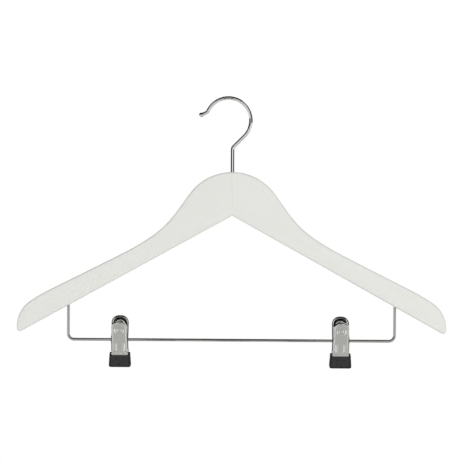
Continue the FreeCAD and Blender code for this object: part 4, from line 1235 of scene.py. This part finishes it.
class HANGER_OT_tubes(bpy.types.Operator):
    """Make the pivot tubes of both clips"""

    bl_idname = "hanger.tubes"
    bl_label = "Pivot Tubes"

    def execute(self, context):
        clips, look = context.scene.hanger_clips, context.scene.hanger_finishes
        nickel = finish_of("plated_tube", plated_surface, look)
        for side, pivot in PIVOTS.items():
            points = on_clip(turned(tube_profile(clips), 0, sides=40), pivot)
            item = new_object(f"{side}_pivot_tube_rolled", [(points, True)])
            seat(item, f"{side}_tube", f"{side}_pivot_tube", nickel)
        return {"FINISHED"}


class HANGER_OT_pads(bpy.types.Operator):
    """Make the rubber pads of both clips"""

    bl_idname = "hanger.pads"
    bl_label = "Rubber Pads"

    def execute(self, context):
        pads, look = context.scene.hanger_pads, context.scene.hanger_finishes
        rubber = finish_of("moulded_rubber", rubber_surface, look)
        for side, pivot in PIVOTS.items():
            for place in ("front", "back"):
                grids, closing, moulded = pad_grids(pads)
                grids = [(on_clip(grid, pivot, place == "back"), closed) for grid, closed in grids]
                closing = [on_clip(face, pivot, place == "back") for face in closing]
                item = new_object(f"{side}_{place}_pad_rubber", grids, closing, moulded=moulded)
                seat(item, f"{side}_{place}", f"{side}_{place}_pad", rubber)
        return {"FINISHED"}


class HANGER_OT_springs(bpy.types.Operator):
    """Make the torsion springs of both clips"""

    bl_idname = "hanger.springs"
    bl_label = "Springs"

    def execute(self, context):
        clips, look = context.scene.hanger_clips, context.scene.hanger_finishes
        steel = finish_of("drawn_spring_steel", drawn_surface, look.steel, look.steel_roughness)
        for side, pivot in PIVOTS.items():
            rings, drawn = spring_wire(clips)
            item = new_object(f"{side}_spring_wire", [(on_clip(rings, pivot), True)], drawn=drawn)
            seat(item, None, f"{side}_spring", steel)
            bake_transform(item)
        return {"FINISHED"}


def stage_sheet(name, edges, hidden_from, surface, *settings):
    """Sheet of the stage through rows of points, hidden from these kinds of ray.

    Its glow is only mirrored or seen, so no lamp light is sampled from it, which keeps the lit wood
    free of noise.
    """
    item = new_object(name, [(np.array(edges, float), False)], outwards=False)
    material = finish_of(name, surface, *settings)
    material.cycles.emission_sampling = "NONE"
    item.data.materials.append(material)
    for ray in hidden_from:
        setattr(item, f"visible_{ray}", False)


def upright(left, right, low, high):
    """Upright card behind the camera, facing the hanger."""
    return [[(left, -CARD_DISTANCE, z), (right, -CARD_DISTANCE, z)] for z in (low, high)]


def lying(left, right, front, back, level):
    """Card that lies on the floor."""
    return [[(x, y, level) for y in (front, back)] for x in (left, right)]


def mirror_cards(stage, wall_steps=49):
    """Sheets round the hanger that only the metal mirrors: name, rows of points and glow of each.

    A grey wall and a grey floor give the metal its tone, black cards the dark lines along wire and
    folds, bright cards the light on hook, dishes and beads. The low black cards leave out the way along
    which the clips are mirrored. Cards on the floor lie one step above another.
    """
    level = stage.floor_level
    turn = np.linspace(0, math.tau, wall_steps)
    wall = ROOM_RADIUS * np.stack([np.cos(turn), np.sin(turn), 0 * turn], axis=-1)
    aisle = [[(x, y, level + 2 * CARD_STEP) for x in (-half, half)] for half, y in AISLE]
    over = [[(x, y, z) for y, z in OVER_PATH] for x in (-OVER_HALF, OVER_HALF)]
    cards = [
        ("room_wall", [wall + (0, 0, level), wall + (0, 0, ROOM_TOP)], stage.room_grey),
        ("grey_card_floor", lying(*GREY_FLOOR, level + CARD_STEP), stage.floor_grey),
        ("dark_card_floor", aisle, BLACK),
        ("dark_card_over", over, BLACK),
        ("dark_card_high", upright(*HIGH_CARD), BLACK),
        ("bright_card_front", upright(*FRONT_CARD), stage.front_glow),
    ]
    for name, (left, right) in LOW_CARDS.items():
        cards.append((f"dark_card_{name}", upright(left, right, level, LOW_CARD_TOP), BLACK))
    for name, (side, path) in SIDE_CARDS.items():
        rows = [[(side * x * out_share, y, z) for x, y in path] for z, out_share in SIDE_ROWS]
        cards.append((f"dark_card_{name}", rows, BLACK))
        for place, (near, far) in GLOWING_CARDS.items():
            glowing = lying(side * near, side * far, *GLOWING_RUN, level + 3 * CARD_STEP)
            cards.append((f"bright_card_{name}_{place}", glowing, stage.card_glow))
    return cards


def shown_rays(nodes):
    """1 for rays that show the background: from the camera, from a mirror or through glass."""
    rays = nodes.add("ShaderNodeLightPath", output="Is Camera Ray")
    glossy, through = rays.outs("Is Glossy Ray", "Is Transmission Ray")
    return rays.math("MAXIMUM", rays.math("MAXIMUM", rays, glossy), through)


def white(nodes, strength):
    """White glow."""
    return nodes.add("ShaderNodeEmission", None, {"Color": WHITE, "Strength": strength})


def floor_surface(nodes, stage):
    """Pale floor that keeps the shadow under the hanger and rises to plain white further off."""
    x, y = nodes.parts(nodes.place(), "XY")
    lit = nodes.add("ShaderNodeBsdfDiffuse", None, {"Color": solid(stage.floor_colour)})
    lifted = nodes.add("ShaderNodeAddShader", None, {0: lit, 1: white(nodes, stage.floor_lift)})
    square = x * x + y * y
    far = nodes.ramp(square.math("SQRT", square), *FLOOR_FADE)
    seen = nodes.add("ShaderNodeMixShader", None, {0: far, 1: lifted, 2: white(nodes, 1.0)})
    return nodes.add("ShaderNodeMixShader", None, {0: shown_rays(nodes), 1: lit, 2: seen})


def set_world(stage):
    """Plain white for rays that show the background, softer light for all others."""
    world = bpy.data.worlds.new("white_room")
    world.use_nodes = True
    bpy.context.scene.world = world
    nodes = Nodes(world.node_tree)
    soft, plain = (
        nodes.add("ShaderNodeBackground", None, {"Color": WHITE, "Strength": strength})
        for strength in (stage.world_light, 1.0)
    )
    seen = nodes.add("ShaderNodeMixShader", None, {0: shown_rays(nodes), 1: soft, 2: plain})
    nodes.add("ShaderNodeOutputWorld", None, {"Surface": seen})


def softbox(name, place, target, face, power):
    """Soft lamp with a face of this width and height that looks from a place to a target.

    It turns up from straight down, and about the upright, by the angles of its way. The metal doesn't
    mirror it.
    """
    lamp = bpy.data.lights.new(name, "AREA")
    lamp.shape, lamp.energy = "RECTANGLE", power
    lamp.size, lamp.size_y = face
    item = bpy.data.objects.new(name, lamp)
    x, y, z = np.array(target) - np.array(place)
    item.location = place
    item.visible_glossy = False
    item.rotation_euler = Euler((math.atan2(math.hypot(x, y), -z), 0, math.atan2(y, x) - QUARTER))
    bpy.context.scene.collection.objects.link(item)


class HANGER_OT_stage(bpy.types.Operator):
    """Make the floor, the cards, the lamps, the world and the camera"""

    bl_idname = "hanger.stage"
    bl_label = "Stage"

    def execute(self, context):
        scene = context.scene
        stage = scene.hanger_stage
        reach, middle = stage.floor_reach, (0.0, 0.0, stage.camera_level)
        floor = [[(x, y, stage.floor_level) for x in (-reach, reach)] for y in (-reach, reach)]
        stage_sheet("floor", floor, (), floor_surface, stage)
        for name, edges, glow in mirror_cards(stage):
            stage_sheet(name, edges, CARD_HIDDEN_FROM, white, glow)
        for name, (place, face) in SOFTBOXES.items():
            softbox(f"{name}_softbox", place, middle, face, getattr(stage, f"{name}_power"))
        set_world(stage)
        camera = bpy.data.cameras.new("camera")
        camera.lens = stage.focal
        item = bpy.data.objects.new("camera", camera)
        item.location = (stage.camera_side, -stage.distance, stage.camera_level)
        turn = Euler((QUARTER, 0, 0)).to_matrix() @ Euler((0, 0, stage.roll)).to_matrix()
        item.rotation_euler = turn.to_euler()
        scene.collection.objects.link(item)
        scene.camera = item
        scene.view_settings.view_transform = "Standard"
        return {"FINISHED"}


OPERATORS = (
    HANGER_OT_arms, HANGER_OT_hook, HANGER_OT_sleeve, HANGER_OT_bar, HANGER_OT_jaws, HANGER_OT_tubes,
    HANGER_OT_pads, HANGER_OT_springs, HANGER_OT_stage,
)
GROUPS = {
    "hanger_arms": HANGER_PG_arms,
    "hanger_hook": HANGER_PG_hook,
    "hanger_bar": HANGER_PG_bar,
    "hanger_clips": HANGER_PG_clips,
    "hanger_pads": HANGER_PG_pads,
    "hanger_finishes": HANGER_PG_finishes,
    "hanger_stage": HANGER_PG_stage,
}


class HANGER_PT_sidebar(bpy.types.Panel):
    """Pieces of the hanger with the sizes and colours that they are made from"""

    bl_idname = "HANGER_PT_sidebar"
    bl_label = "Skirt Hanger"
    bl_space_type = "VIEW_3D"
    bl_region_type = "UI"
    bl_category = "Hanger"

    def draw(self, context):
        for operator in OPERATORS:
            self.layout.operator(operator.bl_idname)
        for group in GROUPS:
            settings = getattr(context.scene, group)
            box = self.layout.box()
            for name in settings.bl_rna.properties.keys():
                if name not in {"rna_type", "name"}:
                    box.prop(settings, name)


CLASSES = (*GROUPS.values(), *OPERATORS, HANGER_PT_sidebar)


def register():
    """Registers the classes and hangs the groups of settings on the scene."""
    for item in CLASSES:
        bpy.utils.register_class(item)
    for name, group in GROUPS.items():
        setattr(bpy.types.Scene, name, PointerProperty(type=group))


def unregister():
    """Takes the groups of settings and the classes away again."""
    for name in GROUPS:
        delattr(bpy.types.Scene, name)
    for item in reversed(CLASSES):
        bpy.utils.unregister_class(item)


def main():
    register()
    bpy.ops.hanger.stage()
    bpy.ops.hanger.arms()
    bpy.ops.hanger.hook()
    bpy.ops.hanger.sleeve()
    bpy.ops.hanger.bar()
    bpy.ops.hanger.jaws()
    bpy.ops.hanger.tubes()
    bpy.ops.hanger.pads()
    bpy.ops.hanger.springs()


if __name__ == "__main__":
    main()
